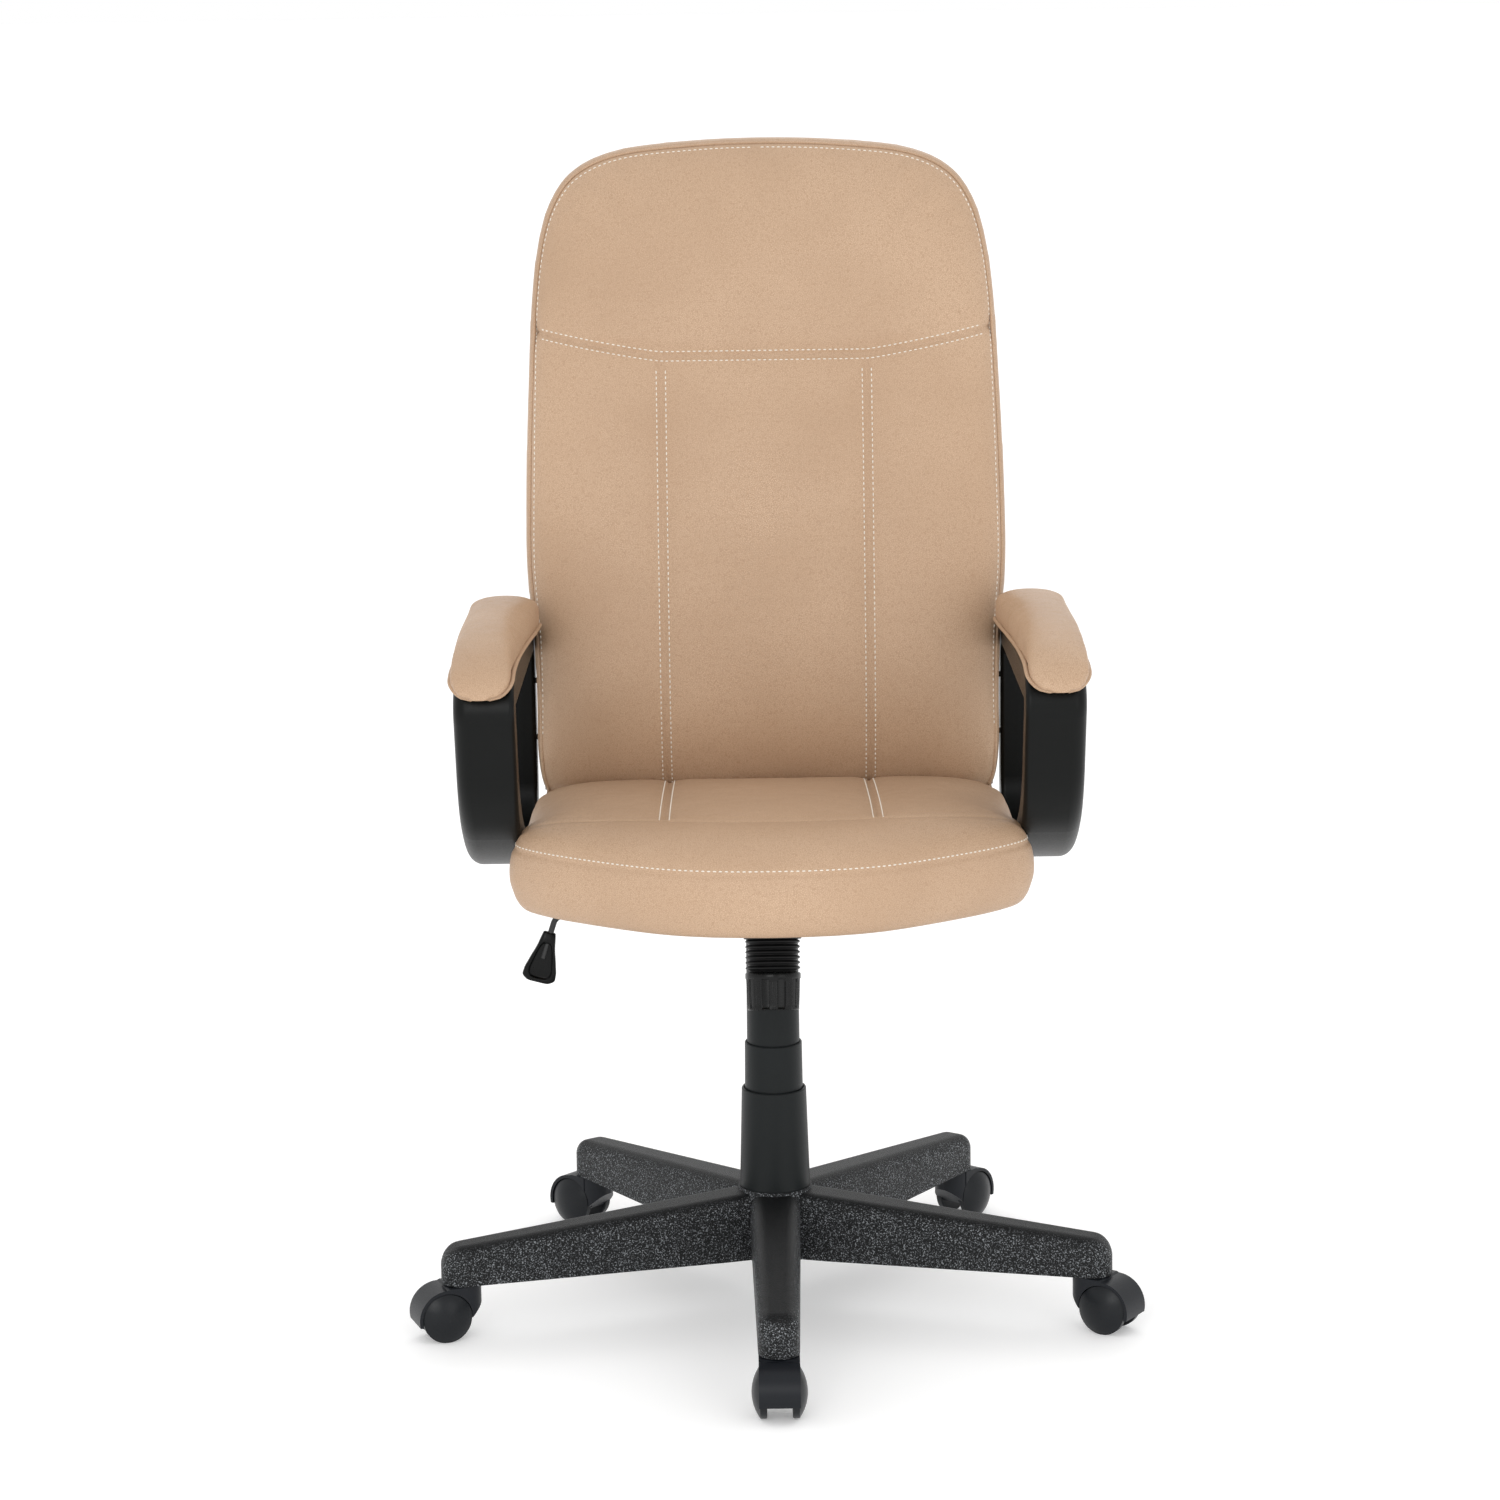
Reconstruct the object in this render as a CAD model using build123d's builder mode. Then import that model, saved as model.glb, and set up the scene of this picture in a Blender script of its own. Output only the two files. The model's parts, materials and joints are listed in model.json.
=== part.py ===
"""High-back swivel office chair: five-leg base, gas lift, tilt mechanism, padded loop arms.

Frame: millimetres, +Z up, the origin on the floor under the column. The chair faces -Y, the
sitter's right hand and the height lever are on -X.
"""
from math import atan2, cos, degrees, radians, sin, tan
import os

from build123d import *

os.makedirs("parts", exist_ok=True)

# ---------------------------------------------------------------- driving dimensions
# base and casters
LEG_COUNT = 5
LEG_REACH = 353
STEM_CIRCLE = 332
LEG_BOTTOM = 56.5
LEG_WALL = 3.5
HUB_TOP = 123
WHEEL_R = 25
CASTER_TRAIL = 21
AXLE_R = 3
STEM_R = 5.5
RUNNING = 0.05
# gas lift and its covers
COLUMN_R = 25
COLUMN_TOP = 300
LIFT_R = 14
LIFT_TOP = 411
ROD_R = 5
HOUSING_BOTTOM = 398
# tilt mechanism
TILT_AXLE_Y = -62
TILT_AXLE_Z = 425
PLATE_BOTTOM = 441
PLATE_THICK = 3
HOUSING_HALF = 58
SHEET = 3
# tension knob axis: it leans forward at the bottom
TENSION_LEAN = 14
TENSION_FOOT = (0, -120, 336.5)
KNOB_R = 27.4
KNOB_H = 37
SLEEVE_TOP = 70
# lever
LEVER_Z = 418.5
LEVER_R = 3
LEVER_FALL = 3
YOKE_X = -46
# seat
SEAT_BOTTOM = 444
BOARD = 12
CLOTH = 1.5
SEAT_HALF = 242
SEAT_FRONT = -287
SEAT_REAR = 190
# arms
ARM_IN = 243
ARM_OUT = 302
ARM_TOP = 686
# back
BACK_TOP = 1176
BACK_BOTTOM = 513
BACK_HALF = 241.5

LEGS = ("front", "right", "rear_right", "rear_left", "left")
# the way each caster trails from its stem, degrees from +X
TRAILS = {"front": -90, "right": -33, "rear_right": 50, "rear_left": 140, "left": 200}

UP = (0, sin(radians(TENSION_LEAN)), cos(radians(TENSION_LEAN)))
TENSION_AXIS = Axis(TENSION_FOOT, UP)
TENSION_SIDE = Plane(origin=TENSION_FOOT, x_dir=(1, 0, 0), z_dir=(0, -UP[2], UP[1]))


def tension_plane(height):
    """Plane across the tension axis, at a height above the foot of the knob."""
    foot = Vector(TENSION_FOOT) + Vector(UP) * height
    return Plane(origin=foot, x_dir=(1, 0, 0), z_dir=UP)


def save(block, name):
    """Label a finished piece and write its STEP file."""
    block.part.label = name
    export_step(block.part, f"parts/{name}.step")


# ---------------------------------------------------------------- star base
def leg_plan(start, end, inset):
    """Plan outline of one leg along +X, narrowing outwards, less an inset all round."""
    root = 25 - inset
    tip = 20 - inset
    with BuildSketch() as plan:
        with BuildLine():
            Polyline((end, tip), (start, root), (start, -root), (end, -tip))
            ThreePointArc((end, -tip), (end + tip, 0), (end, tip))
        make_face()
    return plan.sketch


with BuildPart() as leg:
    with BuildSketch(Plane.XZ):
        with BuildLine():
            Polyline((20, 121), (20, 52), (62, 52), (LEG_REACH, LEG_BOTTOM), (LEG_REACH, 72))
            ThreePointArc((LEG_REACH, 72), (347, 88.5), (331, 96))
            Polyline((331, 96), (62, 118), (20, 121))
        make_face()
    extrude(amount=30, both=True)
    with BuildSketch(Plane.XY):
        add(leg_plan(20, LEG_REACH - 20, 0))
    extrude(amount=130, mode=Mode.INTERSECT)
    fillet(leg.edges().filter_by(lambda e: e.center().Z > 97 and e.length > 200), 13)

with BuildPart() as leg_pocket:
    with BuildSketch(Plane.XZ):
        Polygon((48, 40), (308, 40), (308, 97 - LEG_WALL), (48, 117 - LEG_WALL), align=None)
    extrude(amount=30, both=True)
    with BuildSketch(Plane.XY):
        add(leg_plan(48, 306, LEG_WALL + 0.5))
    extrude(amount=130, mode=Mode.INTERSECT)
    with BuildSketch(Plane.XY.offset(30)):
        with Locations((178, 0)):
            Rectangle(280, 3)
        with GridLocations(52, 0, 5, 1):
            with Locations((178, 0)):
                Rectangle(3, 60)
    extrude(amount=100, mode=Mode.SUBTRACT)

with BuildPart() as star_base:
    with BuildSketch(Plane.XZ):
        Polygon((COLUMN_R, 52), (43, 52), (43, 96), (37.5, HUB_TOP), (COLUMN_R, HUB_TOP), align=None)
    revolve(axis=Axis.Z)
    with PolarLocations(0, LEG_COUNT, start_angle=-90):
        add(leg.part)
    with PolarLocations(0, LEG_COUNT, start_angle=-90):
        add(leg_pocket.part, mode=Mode.SUBTRACT)
    with BuildSketch(Plane.XY.offset(40)):
        Circle(COLUMN_R)
    extrude(amount=100, mode=Mode.SUBTRACT)
    with BuildSketch(Plane.XY.offset(50)):
        with PolarLocations(STEM_CIRCLE, LEG_COUNT, start_angle=-90):
            Circle(STEM_R + RUNNING)
    extrude(amount=38, mode=Mode.SUBTRACT)
save(star_base, "star_base")

# ---------------------------------------------------------------- gas lift
with BuildPart() as column_tube:
    with BuildSketch(Plane.XZ):
        Polygon((ROD_R + RUNNING, 60), (COLUMN_R - 2, 60), (COLUMN_R, 62), (COLUMN_R, COLUMN_TOP),
                (COLUMN_R - 1.6, COLUMN_TOP), (COLUMN_R - 1.6, 63), (ROD_R + RUNNING, 63), align=None)
    revolve(axis=Axis.Z)
save(column_tube, "column_tube")

with BuildPart() as guide_bush:
    with BuildSketch(Plane.XY.offset(232)):
        Circle(COLUMN_R - 1.6)
        Circle(LIFT_R + RUNNING, mode=Mode.SUBTRACT)
    extrude(amount=67)
    chamfer(guide_bush.faces().sort_by(Axis.Z)[-1].edges().sort_by(SortBy.RADIUS)[0:1], 0.8)
save(guide_bush, "guide_bush")

with BuildPart() as thrust_bearing:
    with BuildSketch(Plane.XY.offset(63)):
        Circle(14)
        Circle(ROD_R + RUNNING, mode=Mode.SUBTRACT)
    extrude(amount=2)
    with BuildSketch(Plane.XY.offset(65)):
        Circle(12.5)
        Circle(6, mode=Mode.SUBTRACT)
    extrude(amount=3)
save(thrust_bearing, "thrust_bearing")

with BuildPart() as piston_rod:
    with BuildSketch(Plane.XZ):
        Polygon((0, 55), (ROD_R - 1, 55), (ROD_R, 56), (ROD_R, 68.1), (12, 68.1), (12, 70.1),
                (ROD_R, 70.1), (ROD_R, 285), (12, 285), (12, 297), (0, 297), align=None)
    revolve(axis=Axis.Z)
    with BuildSketch(Plane.XZ):
        Polygon((ROD_R - 0.8, 57), (ROD_R + 1, 57), (ROD_R + 1, 58.3), (ROD_R - 0.8, 58.3), align=None)
    revolve(axis=Axis.Z, mode=Mode.SUBTRACT)
save(piston_rod, "piston_rod")

with BuildPart() as retaining_clip:
    with BuildSketch(Plane.XY.offset(57)):
        Circle(9)
        Circle(ROD_R - 0.8, mode=Mode.SUBTRACT)
        with Locations((7, 0)):
            Rectangle(10, 6, mode=Mode.SUBTRACT)
    extrude(amount=1.3)
save(retaining_clip, "retaining_clip")

with BuildPart() as gas_cylinder:
    with BuildSketch(Plane.XZ):
        Polygon((ROD_R + RUNNING, 172), (LIFT_R, 172), (LIFT_R, LIFT_TOP), (4.1, LIFT_TOP),
                (4.1, 392), (2, 392), (2, 384), (12.1, 384), (12.1, 178), (ROD_R + RUNNING, 178),
                align=None)
    revolve(axis=Axis.Z)
save(gas_cylinder, "gas_cylinder")

with BuildPart() as valve_button:
    with BuildSketch(Plane.XY.offset(397)):
        Circle(4)
    extrude(amount=18.2)
    fillet(valve_button.faces().sort_by(Axis.Z)[-1].edges(), 0.8)
save(valve_button, "valve_button")


def cover_section(bottom, r_bottom, top, r_top, wall):
    """Half section of a tapered cover tube with an eased rim at its top."""
    with BuildSketch() as section:
        Polygon((r_bottom, bottom), (r_top, top - 1), (r_top - 0.6, top), (r_top - wall, top),
                (r_bottom - wall, bottom), align=None)
    return section.sketch


with BuildPart() as lower_cover:
    with BuildSketch(Plane.XZ):
        add(cover_section(HUB_TOP, 35.9, 225.7, 32.9, 2.2))
    revolve(axis=Axis.Z)
save(lower_cover, "lower_cover")

with BuildPart() as middle_cover:
    with BuildSketch(Plane.XZ):
        add(cover_section(198, 29.9, 273.8, 29.1, 1.6))
    revolve(axis=Axis.Z)
save(middle_cover, "middle_cover")

with BuildPart() as upper_cover:
    with BuildSketch(Plane.XZ):
        add(cover_section(254, 26.9, HOUSING_BOTTOM, 26.3, 0.95))
    revolve(axis=Axis.Z)
save(upper_cover, "upper_cover")


# ---------------------------------------------------------------- tilt mechanism
def housing_side(inset):
    """Side outline of the pressed housing, less an inset on its bottom and ends."""
    slope = tan(radians(TENSION_LEAN))
    front = -152 + inset
    break_y = TILT_AXLE_Y
    with BuildSketch() as outline:
        Polygon((front, 436 + inset), (front, HOUSING_BOTTOM + inset - slope * (front - break_y)),
                (break_y, HOUSING_BOTTOM + inset), (50 - inset, HOUSING_BOTTOM + inset),
                (50 - inset, 410 + inset), (-56, 436 + inset), align=None)
    return outline.sketch


with BuildPart() as mechanism_housing:
    with BuildSketch(Plane.YZ):
        add(housing_side(0))
    extrude(amount=HOUSING_HALF, both=True)
    with BuildSketch(Plane.YZ):
        add(housing_side(SHEET))
    extrude(amount=HOUSING_HALF - SHEET, both=True, mode=Mode.SUBTRACT)
    # socket for the gas lift's taper, inside the upper cover
    with BuildSketch(Plane.XY.offset(384)):
        Circle(19)
    extrude(amount=26)
    # collar that the spring pushes against
    with BuildSketch(tension_plane(SLEEVE_TOP)):
        Circle(28.5)
    extrude(amount=6)
    # two lugs that carry the lever's yoke
    with BuildSketch(Plane.XY.offset(HOUSING_BOTTOM)):
        with Locations((YOKE_X, 12), (YOKE_X, -12)):
            Rectangle(10, 4)
    extrude(amount=22)
    with BuildSketch(Plane.XY.offset(380)):
        Circle(LIFT_R)
    extrude(amount=60, mode=Mode.SUBTRACT)
    with BuildSketch(tension_plane(SLEEVE_TOP - 5)):
        Circle(5.6)
    extrude(amount=16, mode=Mode.SUBTRACT)
    with BuildSketch(Plane.XZ.offset(-20)):
        with Locations((YOKE_X, LEVER_Z - 2.4)):
            Circle(3 + RUNNING)
    extrude(amount=40, mode=Mode.SUBTRACT)
    with BuildSketch(Plane.YZ.offset(-70)):
        with Locations((TILT_AXLE_Y, TILT_AXLE_Z)):
            Circle(6 + RUNNING)
    extrude(amount=140, mode=Mode.SUBTRACT)
    # notch in the left wall for the lever rod
    with BuildSketch(Plane.YZ.offset(-70)):
        with Locations((0, LEVER_Z)):
            Rectangle(9, 14)
    extrude(amount=30, mode=Mode.SUBTRACT)
save(mechanism_housing, "mechanism_housing")

with BuildPart() as tilt_axle:
    with BuildSketch(Plane.YZ.offset(-70)):
        with Locations((TILT_AXLE_Y, TILT_AXLE_Z)):
            Circle(6)
    extrude(amount=140)
    with BuildSketch(Plane.YZ.offset(-72)):
        with Locations((TILT_AXLE_Y, TILT_AXLE_Z)):
            Circle(8)
    extrude(amount=2)
    with BuildSketch(Plane.YZ.offset(70)):
        with Locations((TILT_AXLE_Y, TILT_AXLE_Z)):
            Circle(8)
    extrude(amount=2)
save(tilt_axle, "tilt_axle")

PLATE_HOLES = [(x, y) for x in (-84, 84) for y in (-140, 80)]
with BuildPart() as seat_plate:
    with BuildSketch(Plane.XY.offset(PLATE_BOTTOM)):
        with Locations((0, -30)):
            RectangleRounded(200, 260, 12)
        with Locations(*PLATE_HOLES):
            Circle(3.2, mode=Mode.SUBTRACT)
    extrude(amount=PLATE_THICK)
    # ears down to the tilt axle, outside the housing
    for side in (-1, 1):
        with BuildSketch(Plane.YZ.offset(side * (HOUSING_HALF + 3.5))):
            with Locations((TILT_AXLE_Y, TILT_AXLE_Z)):
                Circle(13)
            with Locations((TILT_AXLE_Y, (TILT_AXLE_Z + PLATE_BOTTOM) / 2)):
                Rectangle(40, PLATE_BOTTOM - TILT_AXLE_Z)
        extrude(amount=1.5, both=True)
    # hook that pulls the tension bolt up as the seat leans back
    for side in (-1, 1):
        with BuildSketch(Plane.YZ.offset(side * 20)):
            with Locations((-96, 427.75)):
                Rectangle(24, PLATE_BOTTOM - 414.5)
        extrude(amount=1.5, both=True)
    with BuildSketch(Plane.XY.offset(414.5)):
        with Locations((0, -96)):
            Rectangle(40, 24)
            Rectangle(13, 30, mode=Mode.SUBTRACT)
    extrude(amount=3.5)
    with BuildSketch(Plane.YZ.offset(-70)):
        with Locations((TILT_AXLE_Y, TILT_AXLE_Z)):
            Circle(6)
    extrude(amount=140, mode=Mode.SUBTRACT)
save(seat_plate, "seat_plate")

# ---------------------------------------------------------------- tension knob and spring
BARREL_AT = 90.3
with BuildPart() as tension_bolt:
    with BuildSketch(tension_plane(0.5)):
        Circle(5)
    extrude(amount=BARREL_AT - 0.5)
    barrel = Vector(TENSION_FOOT) + Vector(UP) * BARREL_AT
    with BuildSketch(Plane.YZ.offset(-16)):
        with Locations((barrel.Y, barrel.Z)):
            Circle(6)
    extrude(amount=32)
save(tension_bolt, "tension_bolt")

FLUTES = 24
with BuildPart() as tension_knob:
    with BuildSketch(TENSION_SIDE):
        Polygon((0, 0), (25.6, 0), (26.6, 1.2), (KNOB_R, KNOB_H - 1), (KNOB_R - 0.8, KNOB_H),
                (24.9, KNOB_H), (24.9, 8), (0, 8), align=None)
    revolve(axis=TENSION_AXIS)
    with BuildSketch(tension_plane(4)):
        with PolarLocations(KNOB_R + 0.55, FLUTES):
            Circle(1.5)
    extrude(amount=27, mode=Mode.SUBTRACT)
    with BuildSketch(tension_plane(-1)):
        Circle(5 + RUNNING)
    extrude(amount=12, mode=Mode.SUBTRACT)
save(tension_knob, "tension_knob")

with BuildPart() as spring_cup:
    with BuildSketch(tension_plane(8.1)):
        Circle(21)
        Circle(5 + 2 * RUNNING, mode=Mode.SUBTRACT)
    extrude(amount=1.6)
save(spring_cup, "spring_cup")

SPRING_WIRE = 2.6
SPRING_FOOT = 10 + SPRING_WIRE
with BuildPart() as tension_spring:
    coil_axis = tension_plane(SPRING_FOOT)
    with BuildLine() as coil:
        Helix(pitch=11, height=SLEEVE_TOP - SPRING_FOOT - SPRING_WIRE - 0.5, radius=15.5,
              center=coil_axis.origin, direction=UP)
    with BuildSketch(Plane(origin=coil.line @ 0, z_dir=coil.line % 0)):
        Circle(SPRING_WIRE)
    sweep()
save(tension_spring, "tension_spring")

SLEEVE_FINS = 6
SLEEVE_FOOT = 30
FIN_PITCH = 5.2
with BuildPart() as spring_sleeve:
    fins_start = SLEEVE_TOP - SLEEVE_FINS * FIN_PITCH
    outer = [(23.6, SLEEVE_FOOT), (23.6, fins_start)]
    for fin in range(SLEEVE_FINS):
        outer.append((27.2, fins_start + (fin + 0.5) * FIN_PITCH))
        outer.append((24, fins_start + (fin + 1) * FIN_PITCH))
    inner = [(r - 1.1, h) for r, h in reversed(outer)]
    with BuildSketch(TENSION_SIDE):
        Polygon(*outer, *inner, align=None)
    revolve(axis=TENSION_AXIS)
save(spring_sleeve, "spring_sleeve")

# ---------------------------------------------------------------- height lever
LEVER_DIR = (-cos(radians(LEVER_FALL)), 0, -sin(radians(LEVER_FALL)))
LEVER_SLOPE = tan(radians(LEVER_FALL))
LEVER_INNER = 15
LEVER_BEND = -211
PADDLE_LEAN = 15
PADDLE_TOP = (-225, 389)

with BuildPart() as lever_rod:
    with BuildLine(Plane.XZ) as lever_path:
        run = Line((LEVER_INNER, LEVER_Z + LEVER_INNER * LEVER_SLOPE),
                   (LEVER_BEND, LEVER_Z + LEVER_BEND * LEVER_SLOPE))
        elbow = JernArc(start=run @ 1, tangent=run % 1, radius=11, arc_size=69)
        Line(elbow @ 1, (elbow @ 1) + (elbow % 1) * 38)
    with BuildSketch(Plane(origin=lever_path.line @ 0, z_dir=lever_path.line % 0)):
        Circle(LEVER_R)
    sweep()
save(lever_rod, "lever_rod")

with BuildPart() as release_yoke:
    with BuildSketch(Plane.XZ.offset(-9)):
        with Locations((YOKE_X, LEVER_Z - 2.4)):
            RectangleRounded(13, 12, 3)
    extrude(amount=18)
    with BuildSketch(Plane.XZ.offset(-16)):
        with Locations((YOKE_X, LEVER_Z - 2.4)):
            Circle(3)
    extrude(amount=32)
    lever_plane = Plane(origin=(0, 0, LEVER_Z), z_dir=LEVER_DIR)
    with BuildSketch(lever_plane):
        Circle(LEVER_R + RUNNING)
    extrude(amount=90, mode=Mode.SUBTRACT)
save(release_yoke, "release_yoke")

PADDLE_PLANE = Plane(origin=(PADDLE_TOP[0], 0, PADDLE_TOP[1]),
                     x_dir=(cos(radians(PADDLE_LEAN)), 0, -sin(radians(PADDLE_LEAN))), z_dir=(0, -1, 0))
with BuildPart() as lever_paddle:
    with BuildSketch(PADDLE_PLANE):
        Polygon((-7, 0), (7, 0), (17, -41), (14, -50), (-10, -52), (-17, -44), align=None)
    extrude(amount=5, both=True)
    fillet(lever_paddle.edges().filter_by(Axis.Y), 2.5)
    fillet(lever_paddle.faces().sort_by(Axis.Y)[0].edges(), 1.6)
    fillet(lever_paddle.faces().sort_by(Axis.Y)[-1].edges(), 1.6)
    # thumb dish on the front
    with BuildSketch(PADDLE_PLANE.offset(5)):
        with Locations((0, -22)):
            Ellipse(6.5, 13)
    extrude(amount=-1.6, mode=Mode.SUBTRACT)
    add(lever_rod.part, mode=Mode.SUBTRACT)
save(lever_paddle, "lever_paddle")


# ---------------------------------------------------------------- seat
def seat_outline(inset):
    """Plan outline of the seat, rounded in front and narrower behind, less an inset."""
    with BuildSketch() as outline:
        with BuildLine():
            start = (0, SEAT_FRONT)
            for side in (-1, 1):
                edge = TangentArc(start, (side * 105, -265), tangent=(side, 0))
                for point in ((197, -208), (SEAT_HALF - 1, -120)):
                    edge = TangentArc(edge @ 1, (side * point[0], point[1]), tangent=edge % 1)
                straight = Line(edge @ 1, (side * (SEAT_HALF - 1), 60))
                edge = TangentArc(straight @ 1, (side * 226, 130), tangent=(0, 1))
                TangentArc(edge @ 1, (side * 133, SEAT_REAR), tangent=edge % 1)
            Line((-133, SEAT_REAR), (133, SEAT_REAR))
        make_face()
        if inset:
            offset(amount=-inset)
    return outline.sketch


# side profile of the seat's top, front to back
SEAT_CROWN = [(SEAT_FRONT, 508), (-257, 530), (-198, 541), (30, 529), (SEAT_REAR, 494)]
ARM_BOLTS = [(side * 200, y) for side in (-1, 1) for y in (30, 70, 110)]

with BuildPart() as seat_underside:
    with BuildSketch(Plane.XY.offset(SEAT_BOTTOM)):
        add(seat_outline(16))
    extrude(amount=CLOTH)
    with Locations(*[(x, y, SEAT_BOTTOM) for x, y in PLATE_HOLES + ARM_BOLTS]):
        Hole(4.2)
save(seat_underside, "seat_underside")

with BuildPart() as seat_board:
    with BuildSketch(Plane.XY.offset(SEAT_BOTTOM + CLOTH)):
        add(seat_outline(14))
    extrude(amount=BOARD)
    with Locations(*[(x, y, SEAT_BOTTOM) for x, y in PLATE_HOLES + ARM_BOLTS]):
        Hole(4)
save(seat_board, "seat_board")

with BuildPart() as seat_cushion:
    with BuildSketch(Plane.YZ):
        with BuildLine():
            crown = ThreePointArc(*SEAT_CROWN[:3])
            for point in SEAT_CROWN[3:]:
                crown = TangentArc(crown @ 1, point, tangent=crown % 1)
            Polyline(SEAT_CROWN[-1], (SEAT_REAR, SEAT_BOTTOM), (SEAT_FRONT, SEAT_BOTTOM), SEAT_CROWN[0])
        make_face()
    extrude(amount=260, both=True)
    with BuildSketch(Plane.XY.offset(SEAT_BOTTOM)):
        add(seat_outline(0))
    extrude(amount=120, mode=Mode.INTERSECT)
    with BuildSketch(Plane.XY.offset(SEAT_BOTTOM)):
        add(seat_outline(16))
    extrude(amount=CLOTH, mode=Mode.SUBTRACT)
    add(seat_board.part, mode=Mode.SUBTRACT)
    with Locations(*[(x, y, SEAT_BOTTOM + CLOTH + BOARD + 8) for x, y in PLATE_HOLES + ARM_BOLTS]):
        Hole(4.2, depth=25)
save(seat_cushion, "seat_cushion")

with BuildPart() as plate_bolts:
    for x, y in PLATE_HOLES:
        with BuildSketch(Plane.XY.offset(PLATE_BOTTOM - 4)):
            with Locations((x, y)):
                RegularPolygon(5.8, 6)
        extrude(amount=4)
        with BuildSketch(Plane.XY.offset(PLATE_BOTTOM)):
            with Locations((x, y)):
                Circle(3)
        extrude(amount=18)
save(plate_bolts, "plate_bolts")

# ---------------------------------------------------------------- loop arms
BACK_BOLT_Y = 175
BACK_BOLT_Z = (560, 620)
ARM_REAR = 198
ARM_WALL = 33
LEG_TOP = (-212, 641)
LEG_STRAIGHT = 60
LEG_SWEEP = [(-140, 516), (-20, 466), (110, 440)]
REAR_CORNER = 44


def arm_loop(inset):
    """Side outline of an arm: flat top, front leg leaning back, upright rear, less an inset."""
    with BuildSketch() as outline:
        with BuildLine():
            top = Line((ARM_REAR - REAR_CORNER, ARM_TOP), (-180, ARM_TOP))
            edge = TangentArc(top @ 1, LEG_TOP, tangent=top % 1)
            edge = Line(edge @ 1, (edge @ 1) + (edge % 1) * LEG_STRAIGHT)
            for point in LEG_SWEEP:
                edge = TangentArc(edge @ 1, point, tangent=edge % 1)
            # the last arc ends upright on the rear post
            slope = degrees(atan2((edge % 1).Y, (edge % 1).X))
            rise = (ARM_REAR - LEG_SWEEP[-1][0]) * tan(radians((90 + slope) / 2))
            edge = TangentArc(edge @ 1, (ARM_REAR, LEG_SWEEP[-1][1] + rise), tangent=edge % 1)
            Line(edge @ 1, (ARM_REAR, ARM_TOP - REAR_CORNER))
            RadiusArc((ARM_REAR, ARM_TOP - REAR_CORNER), top @ 0, -REAR_CORNER)
        make_face()
        if inset:
            offset(amount=-inset)
    return outline.sketch


def build_arm(side, name):
    """One arm: a rounded loop with a flange turned in under the seat."""
    inner = Plane.YZ.offset(side * ARM_IN)
    out = side * (ARM_OUT - ARM_IN)
    with BuildPart() as arm:
        with BuildSketch(inner):
            add(arm_loop(0))
        extrude(amount=out)
        with BuildSketch(inner):
            add(arm_loop(ARM_WALL))
        extrude(amount=out, mode=Mode.SUBTRACT)
        outer_edges = arm.faces().sort_by(Axis.X)[-1 if side > 0 else 0].edges()
        fillet(outer_edges, 14)
        inner_edges = arm.faces().sort_by(Axis.X)[0 if side > 0 else -1].edges()
        fillet(inner_edges, 5)
        # flange turned in under the seat
        with BuildSketch(Plane.XZ.offset(-125)):
            Polygon((side * 187, 436), (side * 254, 436), (side * 254, 470), (side * ARM_IN, 470),
                    (side * ARM_IN, SEAT_BOTTOM), (side * 187, SEAT_BOTTOM), align=None)
        extrude(amount=105)
        with Locations(*[(x, y, SEAT_BOTTOM) for x, y in ARM_BOLTS if x * side > 0]):
            Hole(4.2, depth=10)
        # bolt wells through the rear post into the back
        for height in BACK_BOLT_Z:
            with BuildSketch(Plane.YZ.offset(side * ARM_IN)):
                with Locations((BACK_BOLT_Y, height)):
                    Circle(3.2)
            extrude(amount=out, mode=Mode.SUBTRACT)
            with BuildSketch(Plane.YZ.offset(side * (ARM_IN + 30))):
                with Locations((BACK_BOLT_Y, height)):
                    Circle(7)
            extrude(amount=side * 40, mode=Mode.SUBTRACT)
    save(arm, name)


build_arm(-1, "arm_left")
build_arm(1, "arm_right")


def build_pad(side, name):
    """Padded armrest on the loop's flat top, rolled over its front."""
    with BuildPart() as pad:
        with BuildSketch(Plane.YZ.offset(side * 231)):
            with BuildLine():
                pad_top = Line((112, 722), (-180, 722))
                roll = TangentArc(pad_top @ 1, (-240, 664), tangent=pad_top % 1)
                Line(roll @ 1, (-224, 664))
                Line((-224, 664), (-219.5, 664))
                under = ThreePointArc((-219.5, 664), (-206, 680.5), (-180, ARM_TOP + 0.5))
                Polyline(under @ 1, (112, ARM_TOP + 0.5), (112, 722))
            make_face()
        extrude(amount=side * 75)
        with BuildSketch(Plane.XY.offset(660)):
            with BuildLine():
                Polyline((side * 306, 90), (side * 306, -250), (side * 241, -250), (side * 241, -30))
                Spline((side * 241, -30), (side * 237, 50), (side * 232, 112))
                Polyline((side * 232, 112), (side * 290, 112), (side * 306, 90))
            make_face()
        extrude(amount=70, mode=Mode.INTERSECT)
    save(pad, name)


build_pad(-1, "arm_pad_left")
build_pad(1, "arm_pad_right")

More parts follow.
